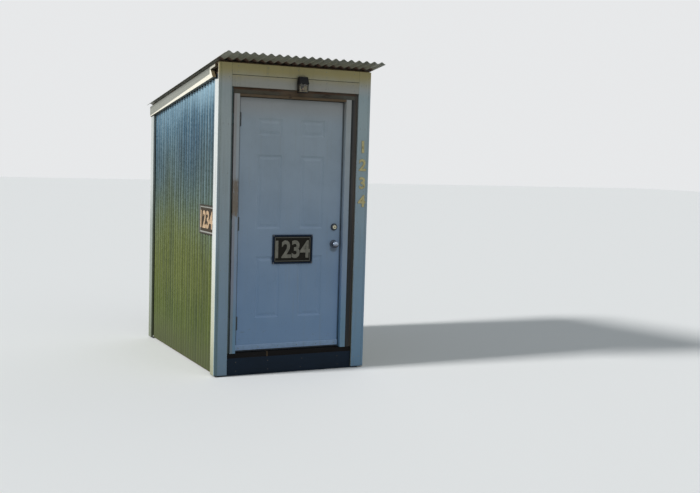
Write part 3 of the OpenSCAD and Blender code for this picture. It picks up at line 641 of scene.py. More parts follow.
def door_enamel(name, colour, jamb=False):
    """White enamel, chalky, with painted blue shade towards the foot: dirt and painted shade in the
    mouldings, a scuffed foot, and painted shadow lines along the door's edges and under its knob.
    """
    material, recipe, shader, where = new_material(name, IOR=1.48, Coat_Roughness=0.25)
    wear = recipe.group(outdoor_wear, Vector=where)
    dirt_and_shade = recipe.dirt_and_shade(0.014)
    edge = recipe.edges(0.0025)
    breakup = recipe.noise(where, 48.0, 5.0, 0.7)
    cloud = recipe.noise(where, 5.0, 4.0, 0.6)
    level = recipe.level(where)

    paint = recipe.mix(recipe.span(cloud, 0.3, 0.75), tint(*colour), shade(colour, 0.955))
    # painted blue shade, stronger towards the foot
    low = recipe.span(level, 0.2, 2.2, 0.80, 0.0)
    paint = recipe.mix(low, paint, tint(129, 170, 219))
    paint = recipe.mix(recipe.span(level, 1.98, 2.16, 0.0, 0.6), paint, tint(194, 188, 182))
    paint = recipe.stain(wear["Runs"], 0.32 if jamb else 0.20, paint, tint(160, 160, 150))
    # dirt and painted shade in corners and grooves
    paint = recipe.stain(dirt_and_shade, 0.12 if jamb else 0.45, paint, tint(120, 124, 124))
    paint = recipe.stain(wear["Specks"], 0.4, paint, tint(110, 104, 92))
    scuffs = recipe.span(recipe.streaks(where, (16.0, 60.0, 90.0), 3.0, 0.6), 0.63, 0.72)
    scuffs = recipe.both(scuffs, recipe.span(level, 0.24, 0.62, 1.0, 0.0))
    paint = recipe.stain(scuffs, 0.3, paint, tint(120, 120, 116))
    chipped = recipe.span(recipe.scaled(edge, 0.3, breakup), 0.79, 0.83)
    paint = recipe.mix(chipped, paint, tint(120, 112, 98))
    across = recipe.along(where, "X")
    if jamb:
        outer = recipe.both(recipe.span(across, JAMB_RIM_X, JAMB_RIM_X - 0.006), 0.45)
        paint = recipe.mix(outer, paint, tint(176, 158, 152))
        # painted shade: the jamb darker and greener towards its foot
        paint = recipe.mix(recipe.span(level, 0.75, 0.35), paint, (0.78, 0.92, 0.86, 1.0), "MULTIPLY")
        peeled = peeling(recipe, where, across, level)
        paint = recipe.mix(peeled, paint, recipe.mix(breakup, tint(110, 98, 86), tint(168, 154, 140)))
    else:
        # painted shadow lines in the gaps beside both door edges, wider at the hinges
        at_hinge = 0.0
        for hinge in HINGE_LEVELS:
            apart = recipe.away_from(level, hinge)
            at_hinge = recipe.either(at_hinge, recipe.span(apart, 0.060, 0.050))
        inwards = recipe.scaled(at_hinge, -0.007, across)
        hinge_shadow = recipe.span(inwards, HINGE_SHADE_LINE - 0.008, HINGE_SHADE_LINE - 0.005, 1.0, 0.0)
        hinge_shadow = recipe.both(hinge_shadow, recipe.scaled(at_hinge, 0.35, 0.6))
        lock_shadow = recipe.span(across, LOCK_SHADE_LINE - 0.003, LOCK_SHADE_LINE + 0.003, 0.0, 0.64)
        paint = recipe.mix(recipe.either(hinge_shadow, lock_shadow), paint, tint(30, 38, 46))
        # painted shadow under the knob, brown as hand dirt
        down = recipe.calc("SUBTRACT", level, LOCK_LEVELS[0] - 0.034)
        aside = recipe.calc("SUBTRACT", across, middle("door_knobs").x + 0.002)
        reach = recipe.calc("SQRT", recipe.scaled(down, down, recipe.both(aside, aside)))
        knob_shadow_and_dirt = recipe.span(recipe.scaled(breakup, 0.010, reach), 0.048, 0.026, 0.0, 0.5)
        paint = recipe.mix(knob_shadow_and_dirt, paint, tint(72, 62, 56))
    recipe.feed(shader["Base Color"], paint)
    recipe.feed(shader["Roughness"], recipe.scaled(cloud, 0.2, 0.32))
    recipe.feed(shader["Coat Weight"], recipe.span(cloud, 0.35, 0.7, 0.25, 0.05))
    orange_peel = recipe.noise(where, 420.0, 2.0, 0.5)
    dents = recipe.noise(where, 3.2, 2.0, 0.5)
    normal = recipe.relief(orange_peel, 0.00025, 0.35)
    recipe.feed(shader["Normal"], recipe.relief(dents, 0.004, 0.12, normal))
    return material


def peeling(recipe, where, across, level):
    """Where the hinge side's jamb has lost its paint, between the top and middle hinges."""
    flakes = recipe.streaks(where, (70.0, 70.0, 9.0), 5.0, 0.7)
    band = recipe.both(recipe.span(level, 1.22, 1.32), recipe.span(level, 1.62, 1.50))
    spread = recipe.scaled(band, 0.27, flakes)
    return recipe.both(recipe.span(spread, 0.66, 0.72), recipe.span(across, -0.42, -0.44))


def sweep_strip():
    """Pale strip screwed along the door's foot, with a black lip and fine pressed lines."""
    material, recipe, shader, where = new_material("sweep_strip", IOR=1.48)
    level = recipe.level(where)
    wear = recipe.group(outdoor_wear, Vector=where)
    dirt_and_shade = recipe.dirt_and_shade(0.01)
    mottle = recipe.noise(where, 30.0, 5.0, 0.65)
    strip = recipe.mix(recipe.span(mottle, 0.3, 0.7), tint(172, 202, 240), tint(156, 186, 222))
    strip = recipe.stain(wear["Runs"], 0.3, strip, tint(140, 146, 150))
    # dirt and painted shade in corners and grooves
    strip = recipe.stain(dirt_and_shade, 0.5, strip, tint(90, 96, 100))
    lip = recipe.span(level, SWEEP_LIP - 0.0005, SWEEP_LIP + 0.0005, 1.0, 0.0)
    recipe.feed(shader["Base Color"], recipe.mix(lip, strip, tint(46, 52, 60)))
    recipe.feed(shader["Roughness"], recipe.scaled(lip, 0.3, 0.4))
    ribs = recipe.calc("SINE", recipe.calc("MULTIPLY", level, 2 * math.pi / 0.006))
    recipe.feed(shader["Normal"], recipe.relief(ribs, 0.0006, 0.5))
    return material


def corrugated_zinc(name, axis, turn):
    """Galvanised wall sheets with painted reflection, olive low down and blue-grey higher up; painted shade
    in the troughs, painted glints on the crests, and fine upright streaks.
    """
    material, recipe, shader, where = new_material(name, IOR=1.6)
    skin = recipe.group(zinc_skin, Vector=recipe.mapped(where, turn=turn), Scale=75.0)
    wear = recipe.group(outdoor_wear, Vector=where)
    level = recipe.level(where)
    streaks = recipe.streaks(where, (60.0, 60.0, 0.45), 4.0, 0.7)
    fine = recipe.streaks(where, (190.0, 190.0, 0.9), 2.0, 0.6)
    broad = recipe.noise(where, 1.5, 4.0, 0.6, (1.0, 1.0, 0.45))

    out = recipe.calc("ABSOLUTE", recipe.along(where, axis))
    valley = SHEET_FACES[axis]
    trough = recipe.span(out, valley + 0.002, valley + 0.014, 1.0, 0.0)
    crest = recipe.span(out, valley + 0.0125, valley + 0.0170)
    height = recipe.scaled(broad, 0.9, level)
    # painted reflection: olive of the ground low down, blue-grey higher up; the pale streak colour follows
    # the same
    zinc = recipe.mix(recipe.span(height, 1.35, 2.55), tint(84, 94, 28), tint(53, 95, 119))
    pale = recipe.mix(recipe.span(height, 1.2, 2.0), tint(146, 154, 92), tint(158, 184, 192))
    zinc = recipe.stain(skin["Spangle"], 0.14, zinc, pale)
    # pale and dark upright streaks, standing for both weathering and painted reflection
    zinc = recipe.mix(recipe.span(streaks, 0.54, 0.78, 0.0, 0.55), zinc, pale)
    zinc = recipe.mix(recipe.span(streaks, 0.47, 0.26, 0.0, 0.75), zinc, tint(34, 48, 42))
    zinc = recipe.mix(recipe.span(fine, 0.60, 0.72, 0.0, 0.5), zinc, pale)
    zinc = recipe.mix(recipe.span(fine, 0.42, 0.28, 0.0, 0.5), zinc, tint(26, 38, 38))
    # painted shade in the troughs
    zinc = recipe.mix(recipe.both(trough, recipe.span(height, 0.9, 1.9, 0.5, 0.74)), zinc, tint(22, 34, 26))
    # painted glints on the crests, and dark teal patches of painted reflection
    glints = recipe.streaks(where, (19.0, 19.0, 0.8), 3.0, 0.6)
    upper = recipe.span(height, 1.1, 1.7, 0.25, 1.0)
    bright = recipe.both(recipe.span(glints, 0.42, 0.68, 0.06, 0.58), upper, crest)
    zinc = recipe.mix(bright, zinc, pale)
    zinc = recipe.mix(recipe.span(glints, 0.47, 0.32, 0.0, 0.25), zinc, tint(24, 48, 56))
    if axis == "X":
        # painted reflection: a darker band that follows the roof line down, and paler sheet just under the
        # rake
        back, line = recipe.roof_lines(where)
        below = recipe.scaled(broad, 0.3, recipe.calc("SUBTRACT", RAKE_FOOT - 0.15, line))
        band = recipe.both(recipe.span(below, 0.12, 0.50), recipe.span(below, 1.15, 0.60))
        zinc = recipe.mix(band, zinc, (0.62, 0.66, 0.70, 1.0), "MULTIPLY")
        paler_under_rake = recipe.both(recipe.span(below, 0.24, 0.0), recipe.span(back, 1.9, 0.1, 0.14, 0.54))
        zinc = recipe.mix(paler_under_rake, zinc, tint(158, 190, 205))
    zinc = recipe.stain(wear["Runs"], 0.3, zinc, tint(70, 74, 54))
    # painted reflection of the ground: greener and darker towards the foot, and green splash standing for
    # both algae and reflection
    zinc = recipe.mix(recipe.span(level, 0.75, 0.25), zinc, (0.84, 0.92, 0.84, 1.0), "MULTIPLY")
    algae_and_grass_reflection = recipe.both(wear["Splash"], 0.75)
    zinc = recipe.mix(algae_and_grass_reflection, zinc, tint(66, 70, 38))
    flakes = recipe.noise(where, 30.0, 5.0, 0.7)
    rusted = recipe.span(recipe.scaled(level, -0.9, flakes), 0.6, 0.72)
    zinc = recipe.mix(rusted, zinc, tint(92, 58, 36))
    away = recipe.span(recipe.along(where, "X"), -0.5, -0.3, 0.0, 0.3)
    zinc = recipe.mix(away, zinc, tint(148, 156, 152))
    # painted shadow under the rake boards
    zinc = rake_shadow_on_sheets(recipe, zinc, where, trough, streaks)
    normal_out = recipe.normal_along(axis)
    inner = recipe.span(recipe.calc("MULTIPLY", normal_out, recipe.along(where, axis)), 0.0, -0.06)
    bare = recipe.mix(skin["Spangle"], tint(112, 116, 114), tint(134, 138, 136))
    recipe.feed(shader["Base Color"], recipe.stain(inner, 0.85, zinc, bare))
    dull = recipe.either(algae_and_grass_reflection, rusted)
    recipe.feed(shader["Metallic"], recipe.scaled(dull, -0.45, 0.5))
    rough = recipe.scaled(skin["Spangle"], 0.12, 0.38)
    recipe.feed(shader["Roughness"], recipe.scaled(dull, 0.35, rough))
    normal = recipe.relief(skin["Lines"], 0.0004, 0.4)
    recipe.feed(shader["Normal"], recipe.relief(broad, 0.006, 0.2, normal))
    return material


def rake_shadow_on_sheets(recipe, under, where, trough, streaks):
    """Painted shadow on the sheets just below the rake boards, reaching lower in the troughs, and painted
    shade in the front notch.
    """
    back, line = recipe.roof_lines(where)
    below = recipe.calc("SUBTRACT", RAKE_FOOT, line)
    reach = recipe.scaled(trough, 0.011, recipe.calc("MULTIPLY", streaks, 0.005))
    # painted shadow under the rake, and painted shade in the front notch
    dirt = recipe.span(recipe.calc("SUBTRACT", below, reach), -0.004, 0.001, 1.0, 0.0)
    corner = recipe.both(recipe.span(back, 0.155, 0.120), recipe.span(recipe.level(where), 2.285, 2.30))
    return recipe.stain(recipe.either(dirt, corner), 0.88, under, tint(34, 28, 22))


def weathered_roof():
    """Roof sheets: dull warm grey zinc, lighter underneath with painted bounce light, pale lichen, and rust
    with painted shade on the underside where they lie on the front boards.
    """
    material, recipe, shader, where = new_material("weathered_roof", IOR=1.6)
    skin = recipe.group(zinc_skin, Vector=recipe.mapped(where, turn=RUNS["y"]), Scale=70.0)
    broad = recipe.noise(where, 1.9, 5.0, 0.62)
    fine = recipe.noise(where, 21.0, 5.0, 0.7)
    runs = recipe.streaks(where, (34.0, 1.1, 1.1), 4.0, 0.65)
    crumbs = recipe.cells(where, 26.0)
    over = recipe.span(recipe.normal_along("Z"), -0.1, 0.1)

    zinc = recipe.mix(recipe.span(broad, 0.32, 0.68), tint(158, 158, 146), tint(176, 174, 162))
    # painted bounce light: the underside lighter than the top
    zinc = recipe.stain(over, 0.55, zinc, tint(104, 108, 102))
    zinc = recipe.stain(skin["Spangle"], 0.2, zinc, tint(160, 160, 150))
    zinc = recipe.mix(recipe.span(runs, 0.5, 0.74, 0.0, 0.4), zinc, tint(104, 96, 80))
    mixed = recipe.scaled(broad, 0.6, recipe.calc("MULTIPLY", fine, 0.5))
    rusted = recipe.span(recipe.scaled(runs, 0.40, mixed), 0.845, 0.93)
    rusted = recipe.both(rusted, recipe.scaled(over, 0.6, 0.4))
    # rust and painted shade on the underside along the front boards
    near_boards = recipe.scaled(fine, 0.03, recipe.along(where, "Y"))
    at_boards = recipe.both(recipe.span(near_boards, FRONT_Y - 0.020, FRONT_Y + 0.004),
                            recipe.span(near_boards, FRONT_Y + 0.09, FRONT_Y + 0.03))
    rusted = recipe.either(rusted, recipe.both(at_boards, recipe.without(over)))
    rust = recipe.mix(fine, tint(58, 32, 18), tint(112, 62, 34))
    zinc = recipe.stain(rusted, 0.85, zinc, rust)
    spots = recipe.span(crumbs["Distance"], 0.1, 0.24, 1.0, 0.0)
    lichen = recipe.both(spots, recipe.span(broad, 0.5, 0.62), over)
    recipe.feed(shader["Base Color"], recipe.stain(lichen, 0.5, zinc, tint(158, 162, 138)))
    dull = recipe.either(rusted, lichen)
    recipe.feed(shader["Metallic"], recipe.scaled(dull, -0.25, 0.3))
    recipe.feed(shader["Roughness"], recipe.scaled(dull, 0.3, 0.55))
    normal = recipe.relief(skin["Lines"], 0.0004, 0.4)
    recipe.feed(shader["Normal"], recipe.relief(recipe.calc("MULTIPLY", dull, fine), 0.0012, 0.6, normal))
    return material


def worn_metal(name, bright, dark, rough, metallic=1.0, stains=0.4):
    """Plated or bare metal: brushed sheen, smudges, stains and painted shade in corners, bright edges."""
    material, recipe, shader, where = new_material(name, IOR=1.9)
    wear = recipe.group(outdoor_wear, Vector=where)
    dirt_and_shade = recipe.dirt_and_shade(0.006)
    edge = recipe.edges(0.0012)
    smudge = recipe.noise(where, 36.0, 4.0, 0.65)
    brush = recipe.streaks(where, (420.0, 420.0, 40.0), 2.0, 0.5)
    colour = recipe.mix(recipe.span(smudge, 0.4, 0.75), tint(*bright), shade(bright, 0.86))
    # stains, and dirt and painted shade in corners
    stains_and_shade = recipe.either(recipe.calc("MULTIPLY", dirt_and_shade, 0.8), recipe.span(smudge, 0.62, 0.8, 0.0, stains))
    colour = recipe.mix(stains_and_shade, colour, tint(*dark))
    colour = recipe.stain(wear["Specks"], stains, colour, tint(*dark))
    recipe.feed(shader["Base Color"], recipe.stain(edge, 0.3, colour, shade(bright, 1.15)))
    recipe.feed(shader["Metallic"], recipe.scaled(stains_and_shade, -0.35 * metallic, metallic))
    roughness = recipe.scaled(smudge, 0.2, rough - 0.1)
    recipe.feed(shader["Roughness"], recipe.scaled(stains_and_shade, 0.3, roughness))
    recipe.feed(shader["Normal"], recipe.relief(brush, 0.00008, 0.4))
    return material


def handled_knob():
    """The knobs' plating: bluish with painted sky reflection, painted dark brown reflection of the ground on
    what faces down, and dark and dull on the rose.
    """
    material, recipe, shader, where = new_material("handled_knob", IOR=1.9)
    smudge = recipe.noise(where, 52.0, 4.0, 0.65)
    dirt_and_shade = recipe.dirt_and_shade(0.006)
    out = recipe.calc("SUBTRACT", BOLT_FACE, recipe.along(where, "Y"))
    rose = recipe.span(recipe.calc("ABSOLUTE", out), 0.016, 0.012)
    down = recipe.normal_along("Z")
    # painted reflection: bluish plate, dark brown where it faces down
    plate = recipe.mix(smudge, tint(138, 152, 172), tint(164, 176, 192))
    plate = recipe.mix(recipe.span(down, 0.25, -0.5, 0.0, 0.85), plate, tint(52, 40, 36))
    plate = recipe.stain(rose, 0.95, plate, tint(36, 42, 52))
    # dirt and painted shade in corners and grooves
    recipe.feed(shader["Base Color"], recipe.stain(dirt_and_shade, 0.8, plate, tint(30, 28, 28)))
    recipe.feed(shader["Metallic"], recipe.scaled(dirt_and_shade, -0.4, 0.95))
    rough = recipe.span(rose, 0.2, 0.8, 0.18, 0.5)
    recipe.feed(shader["Roughness"], recipe.scaled(smudge, 0.2, rough))
    recipe.feed(shader["Normal"], recipe.relief(smudge, 0.0001, 0.3))
    return material


def worn_lock_metal():
    """The deadbolt's plating, gone from the keyed face, where the brass shows yellow."""
    material, recipe, shader, where = new_material("worn_lock_metal", IOR=1.9)
    dirt_and_shade = recipe.dirt_and_shade(0.006)
    smudge = recipe.noise(where, 60.0, 4.0, 0.65)
    out = recipe.calc("SUBTRACT", BOLT_FACE, recipe.along(where, "Y"))
    face = recipe.span(recipe.scaled(smudge, 0.001, out), 0.0168, 0.0176)
    plate = recipe.mix(smudge, tint(50, 56, 64), tint(84, 88, 94))
    brass = recipe.mix(smudge, tint(222, 220, 200), tint(176, 170, 140))
    colour = recipe.mix(face, plate, brass)
    # dirt and painted shade in corners and grooves
    recipe.feed(shader["Base Color"], recipe.stain(dirt_and_shade, 0.85, colour, tint(22, 20, 18)))
    recipe.feed(shader["Metallic"], recipe.scaled(dirt_and_shade, -0.4, 0.85))
    recipe.feed(shader["Roughness"], recipe.scaled(smudge, 0.2, 0.34))
    recipe.feed(shader["Normal"], recipe.relief(smudge, 0.0002, 0.4))
    return material


def black_lamp_paint():
    """Lamp housing in black, dust on what faces up, rust where the paint has gone at the edges."""
    material, recipe, shader, where = new_material("black_lamp_paint", IOR=1.5, Specular_IOR_Level=0.25)
    edge = recipe.edges(0.002)
    breakup = recipe.noise(where, 90.0, 5.0, 0.7)
    upwards = recipe.span(recipe.normal_along("Z"), 0.1, 0.9)
    dust = recipe.both(upwards, recipe.span(breakup, 0.3, 0.7, 0.3, 0.9))
    paint = recipe.mix(recipe.span(breakup, 0.3, 0.7), tint(12, 12, 16), tint(20, 19, 22))
    paint = recipe.stain(dust, 0.3, paint, tint(104, 100, 88))
    rusted = recipe.span(recipe.scaled(edge, 0.3, breakup), 0.76, 0.82)
    recipe.feed(shader["Base Color"], recipe.mix(rusted, paint, tint(92, 54, 32)))
    recipe.feed(shader["Roughness"], recipe.scaled(recipe.either(dust, rusted), 0.3, 0.5))
    cast = recipe.noise(where, 260.0, 3.0, 0.6)
    recipe.feed(shader["Normal"], recipe.relief(cast, 0.0003, 0.5))
    return material


def old_pane(name, clear, dim, share, side_pane_shade=0.0):
    """Thin lamp glass or a bulb: mostly clear, with a film of dust, a tint of age, and painted shade on the
    side panes.
    """
    material, recipe, shader, where = new_material(name, IOR=1.45, Transmission_Weight=share, Metallic=0.0)
    film = recipe.noise(where, 70.0, 4.0, 0.6)
    dust = recipe.dirt_and_shade(0.008)
    glass = recipe.mix(film, tint(*clear), tint(*dim))
    # painted shade on the side panes
    aside = recipe.calc("ABSOLUTE", recipe.normal_along("X"))
    glass = recipe.mix(recipe.span(aside, 0.7, 0.9, 0.0, side_pane_shade), glass, tint(44, 42, 40))
    recipe.feed(shader["Base Color"], recipe.stain(dust, 0.5, glass, tint(140, 128, 100)))
    recipe.feed(shader["Roughness"], recipe.scaled(film, 0.2, 0.04))
    recipe.feed(shader["Normal"], recipe.relief(recipe.noise(where, 320.0, 2.0, 0.5), 0.0002, 0.3))
    return material


def sooted_reflector():
    """The lamp's pale reflector, dark with soot towards the hood."""
    material, recipe, shader, where = new_material("sooted_reflector", IOR=1.48)
    mottle = recipe.noise(where, 110.0, 5.0, 0.65)
    enamel = recipe.mix(mottle, tint(214, 204, 176), tint(178, 164, 130))
    rise = recipe.scaled(mottle, 0.02, recipe.level(where))
    soot = recipe.span(rise, LAMP_FOOT + 0.052, LAMP_FOOT + 0.070, 0.0, 0.92)
    aside = recipe.away_from(recipe.along(where, "X"), middle("lamp_glass").x)
    notch = recipe.scaled(recipe.calc("SUBTRACT", rise, LAMP_FOOT + 0.016), -0.42, aside)
    soot = recipe.either(soot, recipe.span(notch, 0.002, -0.002))
    recipe.feed(shader["Base Color"], recipe.mix(soot, enamel, tint(10, 8, 7)))
    recipe.feed(shader["Roughness"], recipe.scaled(soot, 0.4, 0.4))
    recipe.feed(shader["Normal"], recipe.relief(mottle, 0.0003, 0.4))
    return material


def plain_finish(name, colour, worn, rough, edge_share=0.5):
    """A moulded or painted surface with faded patches, worn edges, dirt and painted shade in corners and a
    fine grain.
    """
    material, recipe, shader, where = new_material(name, IOR=1.48)
    wear = recipe.group(outdoor_wear, Vector=where)
    edge = recipe.edges(0.0018)
    dirt_and_shade = recipe.dirt_and_shade(0.008)
    mottle = recipe.noise(where, 34.0, 5.0, 0.65)
    paint = recipe.mix(recipe.span(mottle, 0.3, 0.72), tint(*colour), shade(colour, 0.84))
    paint = recipe.stain(wear["Runs"], 0.3, paint, tint(*worn))
    # dirt and painted shade in corners and grooves
    paint = recipe.stain(dirt_and_shade, 0.5, paint, shade(colour, 0.4))
    recipe.feed(shader["Base Color"], recipe.stain(edge, edge_share, paint, tint(*worn)))
    recipe.feed(shader["Roughness"], recipe.scaled(mottle, 0.25, rough - 0.1))
    recipe.feed(shader["Normal"], recipe.relief(recipe.noise(where, 380.0, 3.0, 0.6), 0.0002, 0.5))
    return material


def plaque(name, axis, centre, field, rim, line, inset=0.022, thick=0.005):
    """A printed sign plate: dark field, coloured rim and one thin line, scratched and faded."""
    material, recipe, shader, where = new_material(name, IOR=1.5, Specular_IOR_Level=0.12)
    edge = recipe.edges(0.0015)
    dirt_and_shade = recipe.dirt_and_shade(0.008)
    mottle = recipe.noise(where, 26.0, 5.0, 0.65)
    scratches = recipe.span(recipe.streaks(where, (30.0, 200.0, 260.0), 3.0, 0.6), 0.70, 0.76)
    colour = recipe.mix(mottle, tint(*field), shade(field, 1.5))
    border = recipe.frame_line(where, axis, centre, (SIGN_SIZE[0] / 2, SIGN_SIZE[1] / 2), 0.024)
    colour = recipe.mix(border, colour, tint(*rim))
    thin = recipe.frame_line(where, axis, centre, (SIGN_SIZE[0] / 2 - inset, SIGN_SIZE[1] / 2 - inset), thick)
    colour = recipe.stain(thin, 0.9, colour, tint(*line))
    colour = recipe.stain(scratches, 0.25, colour, tint(*line))
    colour = recipe.stain(edge, 0.25, colour, tint(*line))
    # dirt and painted shade in corners and grooves
    recipe.feed(shader["Base Color"], recipe.stain(dirt_and_shade, 0.3, colour, tint(16, 16, 16)))
    recipe.feed(shader["Roughness"], recipe.scaled(mottle, 0.2, 0.4))
    recipe.feed(shader["Normal"], recipe.relief(recipe.noise(where, 300.0, 3.0, 0.6), 0.0002, 0.4))
    return material


WEATHERED = ((124, 106, 82), (100, 88, 70), (96, 102, 98))
# timber colours darkened with painted shade, for the trimmer seen in the narrow gaps at the front
SHADED = ((62, 62, 62), (54, 54, 56), (70, 74, 78))
TANNED = ((146, 122, 94), (120, 98, 74), (126, 112, 96))
FRAMING = ((178, 148, 110), (150, 120, 86), (140, 128, 112))

finishes = {
    "white_upright": white_boards("white_upright", "z"),
    "white_level": white_boards("white_level", "x"),
    "white_rake": white_boards("white_rake", "y"),
    "old_upright": bare_timber("old_upright", "z", *SHADED),
    "old_level": bare_timber("old_level", "x", *WEATHERED, greying=0.9),
    "tan_level": bare_timber("tan_level", "x", *TANNED),
    "frame_upright": bare_timber("frame_upright", "z", *FRAMING),
    "frame_level": bare_timber("frame_level", "x", *FRAMING),
    "frame_deep": bare_timber("frame_deep", "y", *FRAMING),
    "deck": floor_deck(),
    "kick": dark_kick_paint(),
    "door": door_enamel("door_enamel", (192, 206, 219)),
    "jamb": door_enamel("jamb_paint", (204, 210, 212), jamb=True),
    "sweep": sweep_strip(),
    "side_zinc": corrugated_zinc("side_zinc", "X", RUNS["z"]),
    "rear_zinc": corrugated_zinc("rear_zinc", "Y", RUNS["z"]),
    "roof": weathered_roof(),
    "nickel": worn_metal("satin_nickel", (142, 144, 146), (60, 54, 48), 0.36),
    "old_nickel": worn_metal("old_nickel", (80, 88, 100), (46, 38, 34), 0.58),
    "knob": handled_knob(),
    "hinge_steel": worn_metal("hinge_steel", (92, 88, 84), (50, 36, 28), 0.5, stains=0.8),
    "zinc_plate": worn_metal("zinc_plate", (138, 138, 134), (84, 62, 44), 0.45, stains=0.7),
    "bolt": worn_lock_metal(),
    "brass": worn_metal("aged_brass", (182, 172, 122), (70, 62, 42), 0.5, metallic=0.5, stains=0.7),
    "lamp_black": black_lamp_paint(),
    "pane": old_pane("old_pane", (250, 248, 236), (236, 230, 210), 0.97, 0.8),
    "bulb": old_pane("old_bulb", (176, 122, 78), (104, 70, 46), 0.35),
    "painted_head": plain_finish("painted_head", (196, 200, 200), (128, 104, 84), 0.5, 0.35),
    "reflector": sooted_reflector(),
    "washer": plain_finish("washer_rubber", (40, 40, 42), (96, 94, 88), 0.7),
    "door_plaque": plaque("door_plaque", "X", DOOR_SIGN, (27, 25, 20), (30, 47, 70), (132, 130, 124)),
    "side_plaque": plaque("side_plaque", "Y", SIDE_SIGN, (40, 32, 20), (50, 44, 34), (166, 166, 158),
                          inset=0.017, thick=0.010),
    "sign_tan": plain_finish("sign_tan", (156, 151, 138), (132, 122, 106), 0.6, 0.25),
    "side_tan": plain_finish("side_tan", (204, 172, 136), (110, 92, 74), 0.6, 0.25),
}


# Making pieces
def finish_piece(name, mesh, finish, body, bevel=0.0, smooth_to=None, limit=30):
    """Puts a mesh into the scene as a piece of the object."""
    piece = bpy.data.objects.new(name, mesh)
    bpy.context.scene.collection.objects.link(piece)
    mesh.materials.clear()
    mesh.materials.append(finishes[finish])
    if smooth_to is not None:
        mesh.shade_smooth()
        mesh.set_sharp_from_angle(angle=math.radians(smooth_to))
    if bevel:
        rounding = piece.modifiers.new("rounding", "BEVEL")
        rounding.width = bevel
        rounding.segments = 2
        rounding.limit_method = "ANGLE"
        rounding.angle_limit = math.radians(limit)
    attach(piece, body)
    return piece


def made_mesh(name, bm):
    bmesh.ops.recalc_face_normals(bm, faces=bm.faces)
    mesh = bpy.data.meshes.new(name)
    bm.to_mesh(mesh)
    bm.free()
    return mesh


def lathe(outline, steps):
    """A closed round shape from (radius, height) points, turned about Z."""
    bm = bmesh.new()
    verts = [bm.verts.new((radius, 0, height)) for radius, height in outline]
    edges = [bm.edges.new(pair) for pair in zip(verts, verts[1:])]
    bmesh.ops.spin(bm, geom=verts + edges, cent=(0, 0, 0), axis=(0, 0, 1), angle=2 * math.pi, steps=steps,
                   use_merge=True, use_duplicate=False)
    bmesh.ops.remove_doubles(bm, verts=bm.verts, dist=1e-6)
    return bm


def slab(outline, depth, bevel=0.0):
    """A closed plate from an outline in X and Y, "depth" thick along Z, with its edges eased."""
    bm = bmesh.new()
    face = bm.faces.new([bm.verts.new((x, y, 0)) for x, y in outline])
    raised = bmesh.ops.extrude_face_region(bm, geom=[face])["geom"]
    bmesh.ops.translate(bm, vec=(0, 0, depth), verts=[v for v in raised if isinstance(v, bmesh.types.BMVert)])
    bmesh.ops.recalc_face_normals(bm, faces=bm.faces)
    if bevel:
        bmesh.ops.bevel(bm, geom=bm.edges[:], offset=bevel, segments=2, profile=0.5, affect="EDGES",
                        material=-1)
    return bm


def joined(*parts):
    """One shape from several, each part given as (shape, matrix)."""
    whole = bmesh.new()
    for part, matrix in parts:
        mesh = bpy.data.meshes.new("part")
        part.to_mesh(mesh)
        part.free()
        mesh.transform(matrix)
        whole.from_mesh(mesh)
        bpy.data.meshes.remove(mesh)
    return whole


def scattered(name, shape, places):
    """A mesh with one copy of the shape at each place; the shape is used up."""
    template = bpy.data.meshes.new("template")
    bmesh.ops.recalc_face_normals(shape, faces=shape.faces)
    shape.to_mesh(template)
    shape.free()
    whole = bmesh.new()
    for place in places:
        count = len(whole.verts)
        whole.from_mesh(template)
        whole.verts.ensure_lookup_table()
        bmesh.ops.transform(whole, matrix=place, verts=whole.verts[count:])
    bpy.data.meshes.remove(template)
    mesh = bpy.data.meshes.new(name)
    whole.to_mesh(mesh)
    whole.free()
    return mesh


def facing(point, out, turn=0.0):
    """The matrix that stands a shape's Z along "out" at a point, turned about it."""
    aim = Vector(out).to_track_quat("Z", "Y").to_matrix().to_4x4()
    return Matrix.Translation(Vector(point)) @ aim @ Matrix.Rotation(turn, 4, "Z")


LEFT = (-1, 0, 0)
RIGHT = (1, 0, 0)
FORWARD = (0, -1, 0)
BACKWARD = (0, 1, 0)
UP = (0, 0, 1)


def dress(node, finish, bevel=0.0, smooth_to=None, limit=30):
    """A merged copy of a solid, with its edges eased and its own finish, standing for that solid."""
    bm = bmesh.new()
    bm.from_mesh(frame["nodes"][node].data)
    bmesh.ops.remove_doubles(bm, verts=bm.verts, dist=2e-5)
    bmesh.ops.dissolve_limit(bm, angle_limit=math.radians(0.4), verts=bm.verts, edges=bm.edges)
    mesh = bpy.data.meshes.new(node + "_dressed")
    bm.to_mesh(mesh)
    bm.free()
    piece = finish_piece(node + "_dressed", mesh, finish, BODY_OF[node], bevel, smooth_to, limit)
    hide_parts(node)
    return piece


